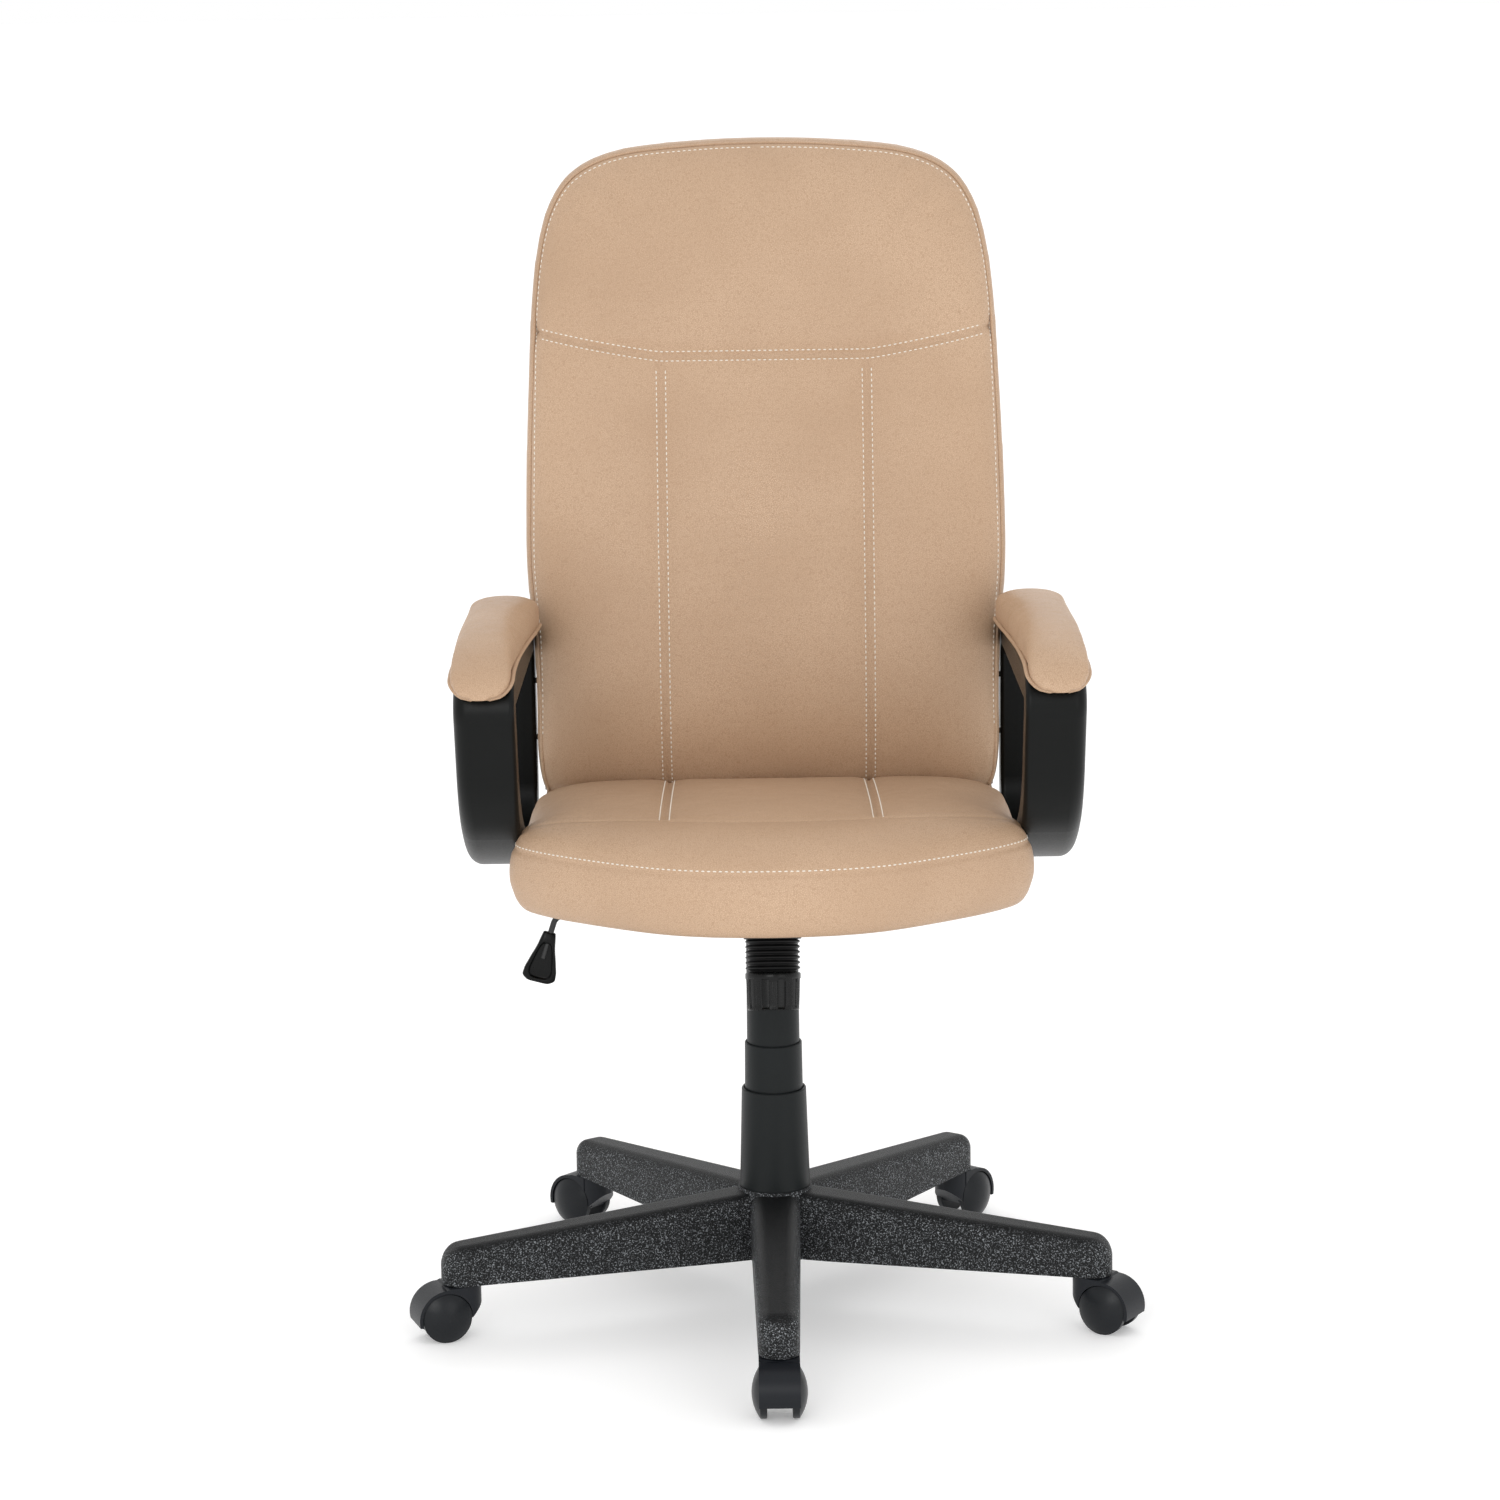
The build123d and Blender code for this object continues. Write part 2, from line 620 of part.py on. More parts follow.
with BuildPart() as arm_bolts:
    for x, y in ARM_BOLTS:
        with BuildSketch(Plane.XY.offset(432)):
            with Locations((x, y)):
                Circle(7)
                RegularPolygon(3.2, 6, mode=Mode.SUBTRACT)
        extrude(amount=3)
        with BuildSketch(Plane.XY.offset(435)):
            with Locations((x, y)):
                Circle(7)
        extrude(amount=1)
        with BuildSketch(Plane.XY.offset(436)):
            with Locations((x, y)):
                Circle(3.9)
        extrude(amount=21)
    for side in (-1, 1):
        for height in BACK_BOLT_Z:
            with BuildSketch(Plane.YZ.offset(side * 210)):
                with Locations((BACK_BOLT_Y, height)):
                    Circle(3)
            extrude(amount=side * (ARM_IN + 30 - 210))
            with BuildSketch(Plane.YZ.offset(side * (ARM_IN + 30))):
                with Locations((BACK_BOLT_Y, height)):
                    Circle(6.5)
            extrude(amount=side * 4)
            with BuildSketch(Plane.YZ.offset(side * (ARM_IN + 32))):
                with Locations((BACK_BOLT_Y, height)):
                    RegularPolygon(3.2, 6)
            extrude(amount=side * 4, mode=Mode.SUBTRACT)
save(arm_bolts, "arm_bolts")

# ---------------------------------------------------------------- back
# front surface of the back on its middle line, as (depth, height), bottom to top
BACK_CURVE = [(146, BACK_BOTTOM), (120, 600), (124, 720), (166, 950), (224, BACK_TOP)]
CUSHION_DEEP = 50
BACK_BOARD = 12
PANEL_DEEP = 12


def back_ribbon(near, far):
    """Side outline of a layer of the back between two depths behind its front surface."""
    ends = []
    with BuildSketch() as ribbon:
        with BuildLine():
            for depth in (near, far):
                points = [(y + depth, z) for y, z in BACK_CURVE]
                edge = ThreePointArc(*points[:3])
                for point in points[3:]:
                    edge = TangentArc(edge @ 1, point, tangent=edge % 1)
                ends.append((points[0], points[-1]))
            Line(ends[0][0], ends[1][0])
            Line(ends[0][1], ends[1][1])
        make_face()
    return ribbon.sketch


def back_outline(inset):
    """Front outline of the back: straight at the hips, widest at the ribs, rounded on top."""
    corner = 26
    with BuildSketch() as outline:
        with BuildLine():
            for side in (-1, 1):
                edge = TangentArc((0, BACK_TOP), (side * 150, 1166), tangent=(side, 0))
                for point in ((226, 1095), (246, 850), (BACK_HALF, 690)):
                    edge = TangentArc(edge @ 1, (side * point[0], point[1]), tangent=edge % 1)
                Line(edge @ 1, (side * BACK_HALF, BACK_BOTTOM + corner))
                RadiusArc((side * BACK_HALF, BACK_BOTTOM + corner),
                          (side * (BACK_HALF - corner), BACK_BOTTOM), side * corner)
            Line((corner - BACK_HALF, BACK_BOTTOM), (BACK_HALF - corner, BACK_BOTTOM))
        make_face()
        if inset:
            offset(amount=-inset)
    return outline.sketch


with BuildPart() as back_board:
    with BuildSketch(Plane.YZ):
        add(back_ribbon(CUSHION_DEEP, CUSHION_DEEP + BACK_BOARD))
    extrude(amount=260, both=True)
    with BuildSketch(Plane.XZ):
        add(back_outline(14))
    extrude(amount=400, both=True, mode=Mode.INTERSECT)
    # side blocks that take the arm bolts
    for side in (-1, 1):
        with BuildSketch(Plane.XZ.offset(-BACK_BOLT_Y - 3.3)):
            with Locations((side * 208, 590)):
                Rectangle(38, 110)
        extrude(amount=14)
    for side in (-1, 1):
        for height in BACK_BOLT_Z:
            with BuildSketch(Plane.YZ.offset(side * 210)):
                with Locations((BACK_BOLT_Y, height)):
                    Circle(3)
            extrude(amount=side * 40, mode=Mode.SUBTRACT)
save(back_board, "back_board")

with BuildPart() as back_cushion:
    with BuildSketch(Plane.YZ):
        add(back_ribbon(0, CUSHION_DEEP + BACK_BOARD))
    extrude(amount=260, both=True)
    with BuildSketch(Plane.XZ):
        add(back_outline(0))
    extrude(amount=400, both=True, mode=Mode.INTERSECT)
    add(back_board.part, mode=Mode.SUBTRACT)
    for side in (-1, 1):
        for height in BACK_BOLT_Z:
            with BuildSketch(Plane.YZ.offset(side * 200)):
                with Locations((BACK_BOLT_Y, height)):
                    Circle(3.2)
            extrude(amount=side * 60, mode=Mode.SUBTRACT)
save(back_cushion, "back_cushion")

with BuildPart() as back_panel:
    with BuildSketch(Plane.YZ):
        add(back_ribbon(CUSHION_DEEP + BACK_BOARD, CUSHION_DEEP + BACK_BOARD + PANEL_DEEP))
    extrude(amount=260, both=True)
    with BuildSketch(Plane.XZ):
        add(back_outline(4))
    extrude(amount=400, both=True, mode=Mode.INTERSECT)
save(back_panel, "back_panel")


# ---------------------------------------------------------------- casters
HOOD_R = 29.3
HOOD_HALF = 19.6
WEB_HALF = 11.2
# how far below the axle the hood's rear edge reaches, in degrees round the axle
HOOD_END = radians(13)

with BuildPart() as hood:
    with BuildSketch(Plane.XZ):
        with BuildLine():
            Polyline((-18.5, 36), (-18.5, 55.5), (18.5, 55.5))
            Line((18.5, 55.5), (CASTER_TRAIL, WHEEL_R + HOOD_R))
            rear = ThreePointArc((CASTER_TRAIL, WHEEL_R + HOOD_R), (CASTER_TRAIL + HOOD_R, WHEEL_R),
                                 (CASTER_TRAIL + HOOD_R * cos(HOOD_END),
                                  WHEEL_R - HOOD_R * sin(HOOD_END)))
            Polyline(rear @ 1, (0, (rear @ 1).Y), (-18.5, 36))
        make_face()
    extrude(amount=HOOD_HALF, both=True)
    with BuildSketch(Plane.XY):
        Circle(18.8)
        with Locations((30, 0)):
            Rectangle(60, 2 * HOOD_HALF)
    extrude(amount=80, mode=Mode.INTERSECT)
    for side in (-1, 1):
        with BuildSketch(Plane.XZ.offset(side * WEB_HALF)):
            with Locations((CASTER_TRAIL, WHEEL_R)):
                Circle(WHEEL_R + 0.8)
        extrude(amount=side * 20, mode=Mode.SUBTRACT)
    with BuildSketch(Plane.XZ.offset(-30)):
        with Locations((CASTER_TRAIL, WHEEL_R)):
            Circle(AXLE_R)
    extrude(amount=60, mode=Mode.SUBTRACT)
    with BuildSketch(Plane.XY.offset(30)):
        Circle(STEM_R)
    extrude(amount=40, mode=Mode.SUBTRACT)

with BuildPart() as stem:
    with BuildSketch(Plane.XZ):
        Polygon((0, 30), (STEM_R, 30), (STEM_R, 78), (STEM_R - 0.9, 79), (STEM_R - 0.9, 81),
                (STEM_R, 82), (STEM_R, 85), (STEM_R - 1.5, 87), (0, 87), align=None)
    revolve(axis=Axis.Z)

with BuildPart() as axle:
    with BuildSketch(Plane.XZ.offset(-24)):
        with Locations((CASTER_TRAIL, WHEEL_R)):
            Circle(AXLE_R)
    extrude(amount=48)

# outer face of a wheel: a dome over its rim
DOME_RIM = (WHEEL_R - 1.6, -19.6)
DOME_RISE = 7.1
DOME_R = (DOME_RIM[0] ** 2 + DOME_RISE ** 2) / (2 * DOME_RISE)
WHEEL_AXIS = Axis((CASTER_TRAIL, 0, WHEEL_R), (0, 1, 0))
with BuildPart() as wheel:
    with BuildSketch(Plane(origin=(CASTER_TRAIL, 0, WHEEL_R), x_dir=(0, 0, 1), z_dir=(1, 0, 0))):
        with BuildLine():
            Polyline((0, DOME_RIM[1] - DOME_RISE), (0, -24.3), (AXLE_R + RUNNING, -24.3),
                     (AXLE_R + RUNNING, -12), (WHEEL_R - 1, -12), (WHEEL_R, -13), (WHEEL_R, -18.6),
                     DOME_RIM)
            RadiusArc(DOME_RIM, (0, DOME_RIM[1] - DOME_RISE), DOME_R)
        make_face()
    revolve(axis=WHEEL_AXIS)

with BuildPart() as facing_wheel:
    mirror(wheel.part, about=Plane.XZ)

WHEELED = ((hood, "housing"), (stem, "stem"), (axle, "axle"), (wheel, "wheel_a"),
           (facing_wheel, "wheel_b"))
for leg_index, leg_name in enumerate(LEGS):
    leg_angle = radians(-90 + leg_index * 360 / LEG_COUNT)
    spot = Location((STEM_CIRCLE * cos(leg_angle), STEM_CIRCLE * sin(leg_angle), 0),
                    (0, 0, TRAILS[leg_name]))
    for piece, suffix in WHEELED:
        with BuildPart() as placed:
            with Locations(spot):
                add(piece.part)
        save(placed, f"caster_{leg_name}_{suffix}")
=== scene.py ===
"""Looks of the high-back office chair: leatherette cushions, moulded plastics, studio and camera.

Metres, in the CAD model's frame: +Z up, the chair faces -Y, the height lever is on -X.
"""
import json
import math

import bmesh
import bpy
import numpy as np
from mathutils import Matrix, Vector
from mathutils.bvhtree import BVHTree


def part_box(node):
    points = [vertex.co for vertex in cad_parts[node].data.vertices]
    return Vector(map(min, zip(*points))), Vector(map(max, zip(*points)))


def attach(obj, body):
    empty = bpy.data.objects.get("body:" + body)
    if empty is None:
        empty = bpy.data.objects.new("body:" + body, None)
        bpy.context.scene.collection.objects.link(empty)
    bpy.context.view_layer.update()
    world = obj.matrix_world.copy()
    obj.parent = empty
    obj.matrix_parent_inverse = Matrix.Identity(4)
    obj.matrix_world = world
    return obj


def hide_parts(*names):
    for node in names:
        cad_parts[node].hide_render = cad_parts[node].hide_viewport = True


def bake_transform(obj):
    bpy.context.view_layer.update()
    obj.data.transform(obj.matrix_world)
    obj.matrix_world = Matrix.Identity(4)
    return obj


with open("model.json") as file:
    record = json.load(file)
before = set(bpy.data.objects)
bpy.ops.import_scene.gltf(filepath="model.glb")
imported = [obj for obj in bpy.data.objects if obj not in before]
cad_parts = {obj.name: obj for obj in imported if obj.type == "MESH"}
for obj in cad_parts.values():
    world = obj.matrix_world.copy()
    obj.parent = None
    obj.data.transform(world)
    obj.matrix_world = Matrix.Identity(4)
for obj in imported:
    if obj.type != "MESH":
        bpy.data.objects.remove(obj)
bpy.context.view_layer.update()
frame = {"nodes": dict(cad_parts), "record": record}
NODES = frame["nodes"]

# ---------------------------------------------------------------- dimensions, metres
SEAT_LOW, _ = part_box("seat_cushion")
SEAT_EDGE_Z = 0.509
SEAT_FRONT = -0.287
SEAT_REAR = 0.190
SEAT_SEAM_X = 0.103
BACK_SEAM_X = 0.106
BACK_YOKE_Z = 0.957
BACK_YOKE_RISE = 0.025
STITCH = 0.0036
STITCH_GAP = 0.0020
STITCH_R = 0.00055
ROW = 0.0048
# front of the back on its middle line: (height, depth)
BACK_CURVE = [(0.495, 0.151), (0.56, 0.128), (0.60, 0.1195), (0.66, 0.1185), (0.72, 0.124),
              (0.80, 0.136), (0.90, 0.155), (1.0, 0.177), (1.1, 0.203), (1.176, 0.224)]
BACK_OUTLINE = [(0.075, 1.1735), (0.150, 1.165), (0.196, 1.145), (0.2205, 1.113), (0.2335, 1.07),
                (0.241, 1.01), (0.245, 0.93), (0.2475, 0.868), (0.2495, 0.787), (0.249, 0.735),
                (0.243, 0.66), (0.2415, 0.60), (0.2415, 0.54), (0.236, 0.507), (0.215, 0.4975)]
BACK_BOTTOM = 0.497
BACK_TOP = 1.176
BACK_EDGE_INSET = 0.0055
BACK_ROLL = 0.030
BACK_ROLL_WIDE = 0.085
BACK_THICK = 0.062
SEAT_OUTLINE = [(0.06, -0.2825), (0.12, -0.262), (0.200, -0.207), (0.240, -0.168), (0.252, -0.143),
                (0.2475, -0.112), (0.2425, -0.08), (0.2415, 0.06), (0.236, 0.10), (0.221, 0.140),
                (0.19, 0.172), (0.14, 0.188)]
# height of the seat's top on its middle line: (depth, height)
SEAT_CROWN = [(-0.287, 0.532), (-0.25, 0.541), (-0.198, 0.543), (-0.1, 0.541), (0.0, 0.534),
              (0.08, 0.527), (0.15, 0.518), (0.19, 0.508)]


# ---------------------------------------------------------------- materials
def new_material(name):
    """A material with a principled shader, its node tree and a texture coordinate output."""
    mat = bpy.data.materials.new(name)
    mat.use_nodes = True
    tree = mat.node_tree
    shader = tree.nodes["Principled BSDF"]
    coords = tree.nodes.new("ShaderNodeTexCoord").outputs["Object"]
    return mat, tree, shader, coords


def noise_node(tree, coords, scale, detail=3.0, rough=0.5):
    node = tree.nodes.new("ShaderNodeTexNoise")
    node.inputs["Scale"].default_value = scale
    node.inputs["Detail"].default_value = detail
    node.inputs["Roughness"].default_value = rough
    tree.links.new(coords, node.inputs["Vector"])
    return node.outputs["Fac"]


def remap(tree, value, low, high, to_low, to_high):
    node = tree.nodes.new("ShaderNodeMapRange")
    for socket, number in zip(("From Min", "From Max", "To Min", "To Max"), (low, high, to_low, to_high)):
        node.inputs[socket].default_value = number
    tree.links.new(value, node.inputs["Value"])
    return node.outputs["Result"]


def mix_colors(tree, factor, first, second):
    node = tree.nodes.new("ShaderNodeMix")
    node.data_type = "RGBA"
    tree.links.new(factor, node.inputs["Factor"])
    for socket, color in ((node.inputs["A"], first), (node.inputs["B"], second)):
        if isinstance(color, bpy.types.NodeSocket):
            tree.links.new(color, socket)
        else:
            socket.default_value = (*color, 1)
    return node.outputs["Result"]


def bump(tree, height, distance, strength, after=None):
    node = tree.nodes.new("ShaderNodeBump")
    node.inputs["Distance"].default_value = distance
    node.inputs["Strength"].default_value = strength
    tree.links.new(height, node.inputs["Height"])
    if after is not None:
        tree.links.new(after, node.inputs["Normal"])
    return node.outputs["Normal"]


def leatherette(name, tone):
    """Tan coated fabric: soft colour drift, grain valleys darkened with painted shade, pebbled grain and
    light creasing.
    """
    mat, tree, shader, coords = new_material(name)
    drift = remap(tree, noise_node(tree, coords, 7, 2), 0.3, 0.7, 0, 1)
    light = tuple(c * 1.05 for c in tone)
    dark = (tone[0] * 0.90, tone[1] * 0.87, tone[2] * 0.84)
    color = mix_colors(tree, drift, dark, light)
    grain = tree.nodes.new("ShaderNodeTexVoronoi")
    grain.feature = "DISTANCE_TO_EDGE"
    grain.inputs["Scale"].default_value = 620
    tree.links.new(coords, grain.inputs["Vector"])
    pebble = remap(tree, grain.outputs["Distance"], 0.0, 0.18, 0, 1)
    # painted shade: the grain's valleys, where the pebble mask is low, take this darker colour
    deep = (tone[0] * 0.74, tone[1] * 0.68, tone[2] * 0.62)
    color = mix_colors(tree, pebble, deep, color)
    tree.links.new(color, shader.inputs["Base Color"])
    pores = noise_node(tree, coords, 900, 4, 0.6)
    creases = noise_node(tree, coords, 60, 5, 0.62)
    normal = bump(tree, creases, 0.0016, 0.35)
    normal = bump(tree, pebble, 0.00022, 0.55, normal)
    normal = bump(tree, pores, 0.00015, 0.35, normal)
    tree.links.new(normal, shader.inputs["Normal"])
    rough = remap(tree, creases, 0.3, 0.7, 0.40, 0.52)
    tree.links.new(rough, shader.inputs["Roughness"])
    shader.inputs["Specular IOR Level"].default_value = 0.42
    return mat


def plastic(name, tone, rough, grain_scale, grain_deep, sparkle=0.0, gloss=0.22):
    """Black moulded plastic: fine drift in tone, spark-eroded grain with painted glints lifted by sparkle,
    roughness that varies with it.
    """
    mat, tree, shader, coords = new_material(name)
    shader.inputs["Specular IOR Level"].default_value = gloss
    drift = noise_node(tree, coords, 25, 3)
    grain = noise_node(tree, coords, grain_scale, 3, 0.65)
    # painted glints: where the grain is high, the colour is lifted by sparkle
    painted_glint = remap(tree, grain, 0.55, 0.72, 0, 1)
    pale = tuple(c + sparkle for c in tone)
    shade = mix_colors(tree, drift, tuple(c * 0.8 for c in tone), tuple(c * 1.25 for c in tone))
    tree.links.new(mix_colors(tree, painted_glint, shade, pale), shader.inputs["Base Color"])
    tree.links.new(remap(tree, grain, 0.3, 0.7, rough - 0.06, rough + 0.08), shader.inputs["Roughness"])
    tree.links.new(bump(tree, grain, grain_deep, 0.6), shader.inputs["Normal"])
    return mat


def cast_nylon(name, tone, glint_tone):
    """Black nylon with a coarse grain and painted glints: pale flecks in its colour, many on its sides and
    few on its tops.
    """
    mat, tree, shader, coords = new_material(name)
    split = tree.nodes.new("ShaderNodeSeparateXYZ")
    tree.links.new(tree.nodes.new("ShaderNodeTexCoord").outputs["Normal"], split.inputs["Vector"])
    # painted glints are kept to the steep sides; the tops get few, so they stay darker
    steep = remap(tree, split.outputs["Z"], 0.5, 0.9, 1, 0.06)
    grit = noise_node(tree, coords, 700, 3, 0.7)
    patch = remap(tree, noise_node(tree, coords, 18, 3), 0.3, 0.7, 0.75, 1.15)
    painted_glint = remap(tree, grit, 0.545, 0.66, 0, 1)
    for factor in (steep, patch):
        times = tree.nodes.new("ShaderNodeMath")
        times.operation = "MULTIPLY"
        times.use_clamp = True
        tree.links.new(painted_glint, times.inputs[0])
        tree.links.new(factor, times.inputs[1])
        painted_glint = times.outputs["Value"]
    # the painted glints lighten the base colour towards the pale glint colour
    tree.links.new(mix_colors(tree, painted_glint, tone, glint_tone), shader.inputs["Base Color"])
    tree.links.new(remap(tree, painted_glint, 0, 1, 0.46, 0.3), shader.inputs["Roughness"])
    shader.inputs["Specular IOR Level"].default_value = 0.2
    tree.links.new(bump(tree, grit, 0.0009, 0.8), shader.inputs["Normal"])
    return mat


def metal(name, tone, rough, metallic=1.0):
    """Plain or painted metal with faint drawn streaks and uneven roughness."""
    mat, tree, shader, coords = new_material(name)
    stretch = tree.nodes.new("ShaderNodeMapping")
    stretch.inputs["Scale"].default_value = (1, 1, 0.05)
    tree.links.new(coords, stretch.inputs["Vector"])
    streak = noise_node(tree, stretch.outputs["Vector"], 900, 2)
    patch = noise_node(tree, coords, 60, 3)
    color = mix_colors(tree, patch, tuple(c * 0.85 for c in tone), tuple(min(1, c * 1.1) for c in tone))
    tree.links.new(color, shader.inputs["Base Color"])
    tree.links.new(remap(tree, patch, 0.3, 0.7, rough - 0.05, rough + 0.08), shader.inputs["Roughness"])
    tree.links.new(bump(tree, streak, 0.00005, 0.3), shader.inputs["Normal"])
    shader.inputs["Metallic"].default_value = metallic
    return mat


def thread(name, tone):
    """Waxed thread with a fine twist."""
    mat, tree, shader, coords = new_material(name)
    twist = tree.nodes.new("ShaderNodeTexWave")
    twist.bands_direction = "DIAGONAL"
    twist.inputs["Scale"].default_value = 900
    tree.links.new(coords, twist.inputs["Vector"])
    color = mix_colors(tree, twist.outputs["Fac"], tuple(c * 0.85 for c in tone), tone)
    tree.links.new(color, shader.inputs["Base Color"])
    tree.links.new(bump(tree, twist.outputs["Fac"], 0.0001, 0.4), shader.inputs["Normal"])
    shader.inputs["Roughness"].default_value = 0.6
    return mat


def woven(name, tone):
    """Non-woven black dust cloth."""
    mat, tree, shader, coords = new_material(name)
    fibre = noise_node(tree, coords, 1500, 4, 0.7)
    color = mix_colors(tree, fibre, tuple(c * 0.6 for c in tone), tuple(c * 1.6 for c in tone))
    tree.links.new(color, shader.inputs["Base Color"])
    tree.links.new(bump(tree, fibre, 0.0002, 0.6), shader.inputs["Normal"])
    shader.inputs["Roughness"].default_value = 0.9
    return mat


def timber(name, tone):
    """Plywood with stretched grain."""
    mat, tree, shader, coords = new_material(name)
    stretch = tree.nodes.new("ShaderNodeMapping")
    stretch.inputs["Scale"].default_value = (1, 0.1, 0.1)
    tree.links.new(coords, stretch.inputs["Vector"])
    grain = noise_node(tree, stretch.outputs["Vector"], 180, 4)
    color = mix_colors(tree, grain, tuple(c * 0.7 for c in tone), tuple(min(1, c * 1.15) for c in tone))
    tree.links.new(color, shader.inputs["Base Color"])
    tree.links.new(bump(tree, grain, 0.0002, 0.4), shader.inputs["Normal"])
    shader.inputs["Roughness"].default_value = 0.7
    return mat


TAN = (0.55, 0.382, 0.256)
LEATHER = leatherette("leatherette", TAN)
THREAD = thread("stitching", (0.86, 0.80, 0.70))
CLOTH = woven("dust_cloth", (0.012, 0.012, 0.013))
FINISHES = {
    # the base's third colour is that of its painted glints
    "base_plastic": cast_nylon("base_nylon", (0.0045, 0.005, 0.0055), (0.33, 0.35, 0.37)),
    "arm_plastic": plastic("arm_plastic", (0.0025, 0.003, 0.0028), 0.36, 900, 0.0001, gloss=0.16),
    "cover_plastic": plastic("cover_plastic", (0.0055, 0.0075, 0.008), 0.42, 800, 0.0001),
    "knob_plastic": plastic("knob_plastic", (0.002, 0.0022, 0.0022), 0.26, 600, 0.00001, gloss=0.24),
    "lever_plastic": plastic("lever_plastic", (0.0015, 0.0017, 0.0017), 0.3, 800, 0.00003, gloss=0.18),
    # casters and wheels: a small sparkle paints faint glints into their colour
    "caster_plastic": plastic("caster_plastic", (0.008, 0.0095, 0.0125), 0.36, 700, 0.0001, 0.002),
    "wheel_plastic": plastic("wheel_plastic", (0.006, 0.0075, 0.0095), 0.33, 700, 0.0001, 0.002, gloss=0.26),
    "bush_plastic": plastic("bush_plastic", (0.05, 0.05, 0.05), 0.5, 700, 0.0001),
    "sleeve_rubber": plastic("sleeve_rubber", (0.005, 0.005, 0.005), 0.42, 700, 0.00005),
    "underside_cloth": CLOTH,
    "leather": LEATHER,
    "plywood": timber("plywood", (0.5, 0.36, 0.2)),
    "column_steel": metal("column_enamel", (0.012, 0.012, 0.012), 0.35, 0.0),
    "mechanism_steel": metal("mechanism_enamel", (0.014, 0.014, 0.014), 0.45, 0.0),
    "lever_steel": metal("lever_enamel", (0.014, 0.014, 0.014), 0.33, 0.0),
    "rod_steel": metal("chromed_rod", (0.8, 0.8, 0.8), 0.12),
    "bearing_steel": metal("plain_steel", (0.45, 0.45, 0.45), 0.35),
    "bolt_steel": metal("black_steel", (0.06, 0.06, 0.06), 0.4),
}
for part in frame["record"]["subparts"]:
    mesh = NODES[part["node"]].data
    finish = FINISHES[part["material_slot"]]
    for index in range(max(1, len(mesh.materials))):
        if index < len(mesh.materials):
            mesh.materials[index] = finish
        else:
            mesh.materials.append(finish)


# ---------------------------------------------------------------- mesh helpers
def interpolate(table, value):
    """Smooth cubic reading of a table of (input, output) pairs."""
    keys = np.array([row[0] for row in table])
    vals = np.array([row[1] for row in table])
    slopes = np.gradient(vals, keys)
    value = np.clip(value, keys[0], keys[-1])
    spot = np.clip(np.searchsorted(keys, value) - 1, 0, len(keys) - 2)
    gap = keys[spot + 1] - keys[spot]
    t = (value - keys[spot]) / gap
    return ((2 * t**3 - 3 * t**2 + 1) * vals[spot] + (t**3 - 2 * t**2 + t) * gap * slopes[spot]
            + (3 * t**2 - 2 * t**3) * vals[spot + 1] + (t**3 - t**2) * gap * slopes[spot + 1])


def smooth_loop(points, count):
    """Closed Catmull-Rom curve through points, resampled to evenly spaced points."""
    ring = [np.array(p, float) for p in points]
    dense = []
    for i in range(len(ring)):
        a, b, c, d = (ring[(i + k) % len(ring)] for k in (-1, 0, 1, 2))
        for t in np.linspace(0, 1, 24, endpoint=False):
            dense.append(0.5 * (2 * b + (c - a) * t + (2 * a - 5 * b + 4 * c - d) * t**2
                                + (3 * b - a - 3 * c + d) * t**3))
    dense = np.array(dense + [dense[0]])
    along = np.concatenate([[0], np.cumsum(np.linalg.norm(np.diff(dense, axis=0), axis=1))])
    want = np.linspace(0, along[-1], count, endpoint=False)
    return np.stack([np.interp(want, along, dense[:, k]) for k in range(dense.shape[1])], axis=1)


def mirrored_loop(half, top, bottom):
    """Closed outline from its right half, top and bottom points on the middle line."""
    right = [top] + list(half) + [bottom]
    return right + [(-x, y) for x, y in reversed(half)]


def mesh_object(name, verts, faces, material, smooth=True):
    mesh = bpy.data.meshes.new(name)
    mesh.from_pydata([tuple(map(float, v)) for v in verts], [], faces)
    mesh.materials.append(material)
    mesh.update()
    obj = bpy.data.objects.new(name, mesh)
    bpy.context.scene.collection.objects.link(obj)
    if smooth:
        mesh.polygons.foreach_set("use_smooth", [True] * len(mesh.polygons))
    return obj


def rings_object(name, rings, material, closed_ends=True):
    """Skin over a list of equal rings of points, capped by fans at both ends."""
    size = len(rings[0])
    verts = [v for ring in rings for v in ring]
    faces = []
    for r in range(len(rings) - 1):
        for i in range(size):
            j = (i + 1) % size
            faces.append((r * size + i, r * size + j, (r + 1) * size + j, (r + 1) * size + i))
    if closed_ends:
        for r, turn in ((0, -1), (len(rings) - 1, 1)):
            verts.append(np.mean(rings[r], axis=0))
            hub = len(verts) - 1
            for i in range(size):
                j = (i + 1) % size
                faces.append((r * size + i, r * size + j, hub)[::turn])
    obj = mesh_object(name, verts, faces, material)
    recalculate(obj)
    return obj


def recalculate(obj):
    bm = bmesh.new()
    bm.from_mesh(obj.data)
    bmesh.ops.recalc_face_normals(bm, faces=bm.faces)
    bm.to_mesh(obj.data)
    bm.free()


def apply_modifiers(obj):
    """Replaces the mesh with its evaluated result and drops the modifiers."""
    graph = bpy.context.evaluated_depsgraph_get()
    result = bpy.data.meshes.new_from_object(obj.evaluated_get(graph))
    obj.modifiers.clear()
    old = obj.data
    obj.data = result
    bpy.data.meshes.remove(old)
    obj.data.polygons.foreach_set("use_smooth", [True] * len(obj.data.polygons))


def coordinates(obj):
    flat = np.zeros(len(obj.data.vertices) * 3)
    obj.data.vertices.foreach_get("co", flat)
    return flat.reshape(-1, 3)


def set_coordinates(obj, points):
    obj.data.vertices.foreach_set("co", points.reshape(-1))
    obj.data.update()


def normals(obj):
    flat = np.zeros(len(obj.data.vertices) * 3)
    obj.data.vertices.foreach_get("normal", flat)
    return flat.reshape(-1, 3)


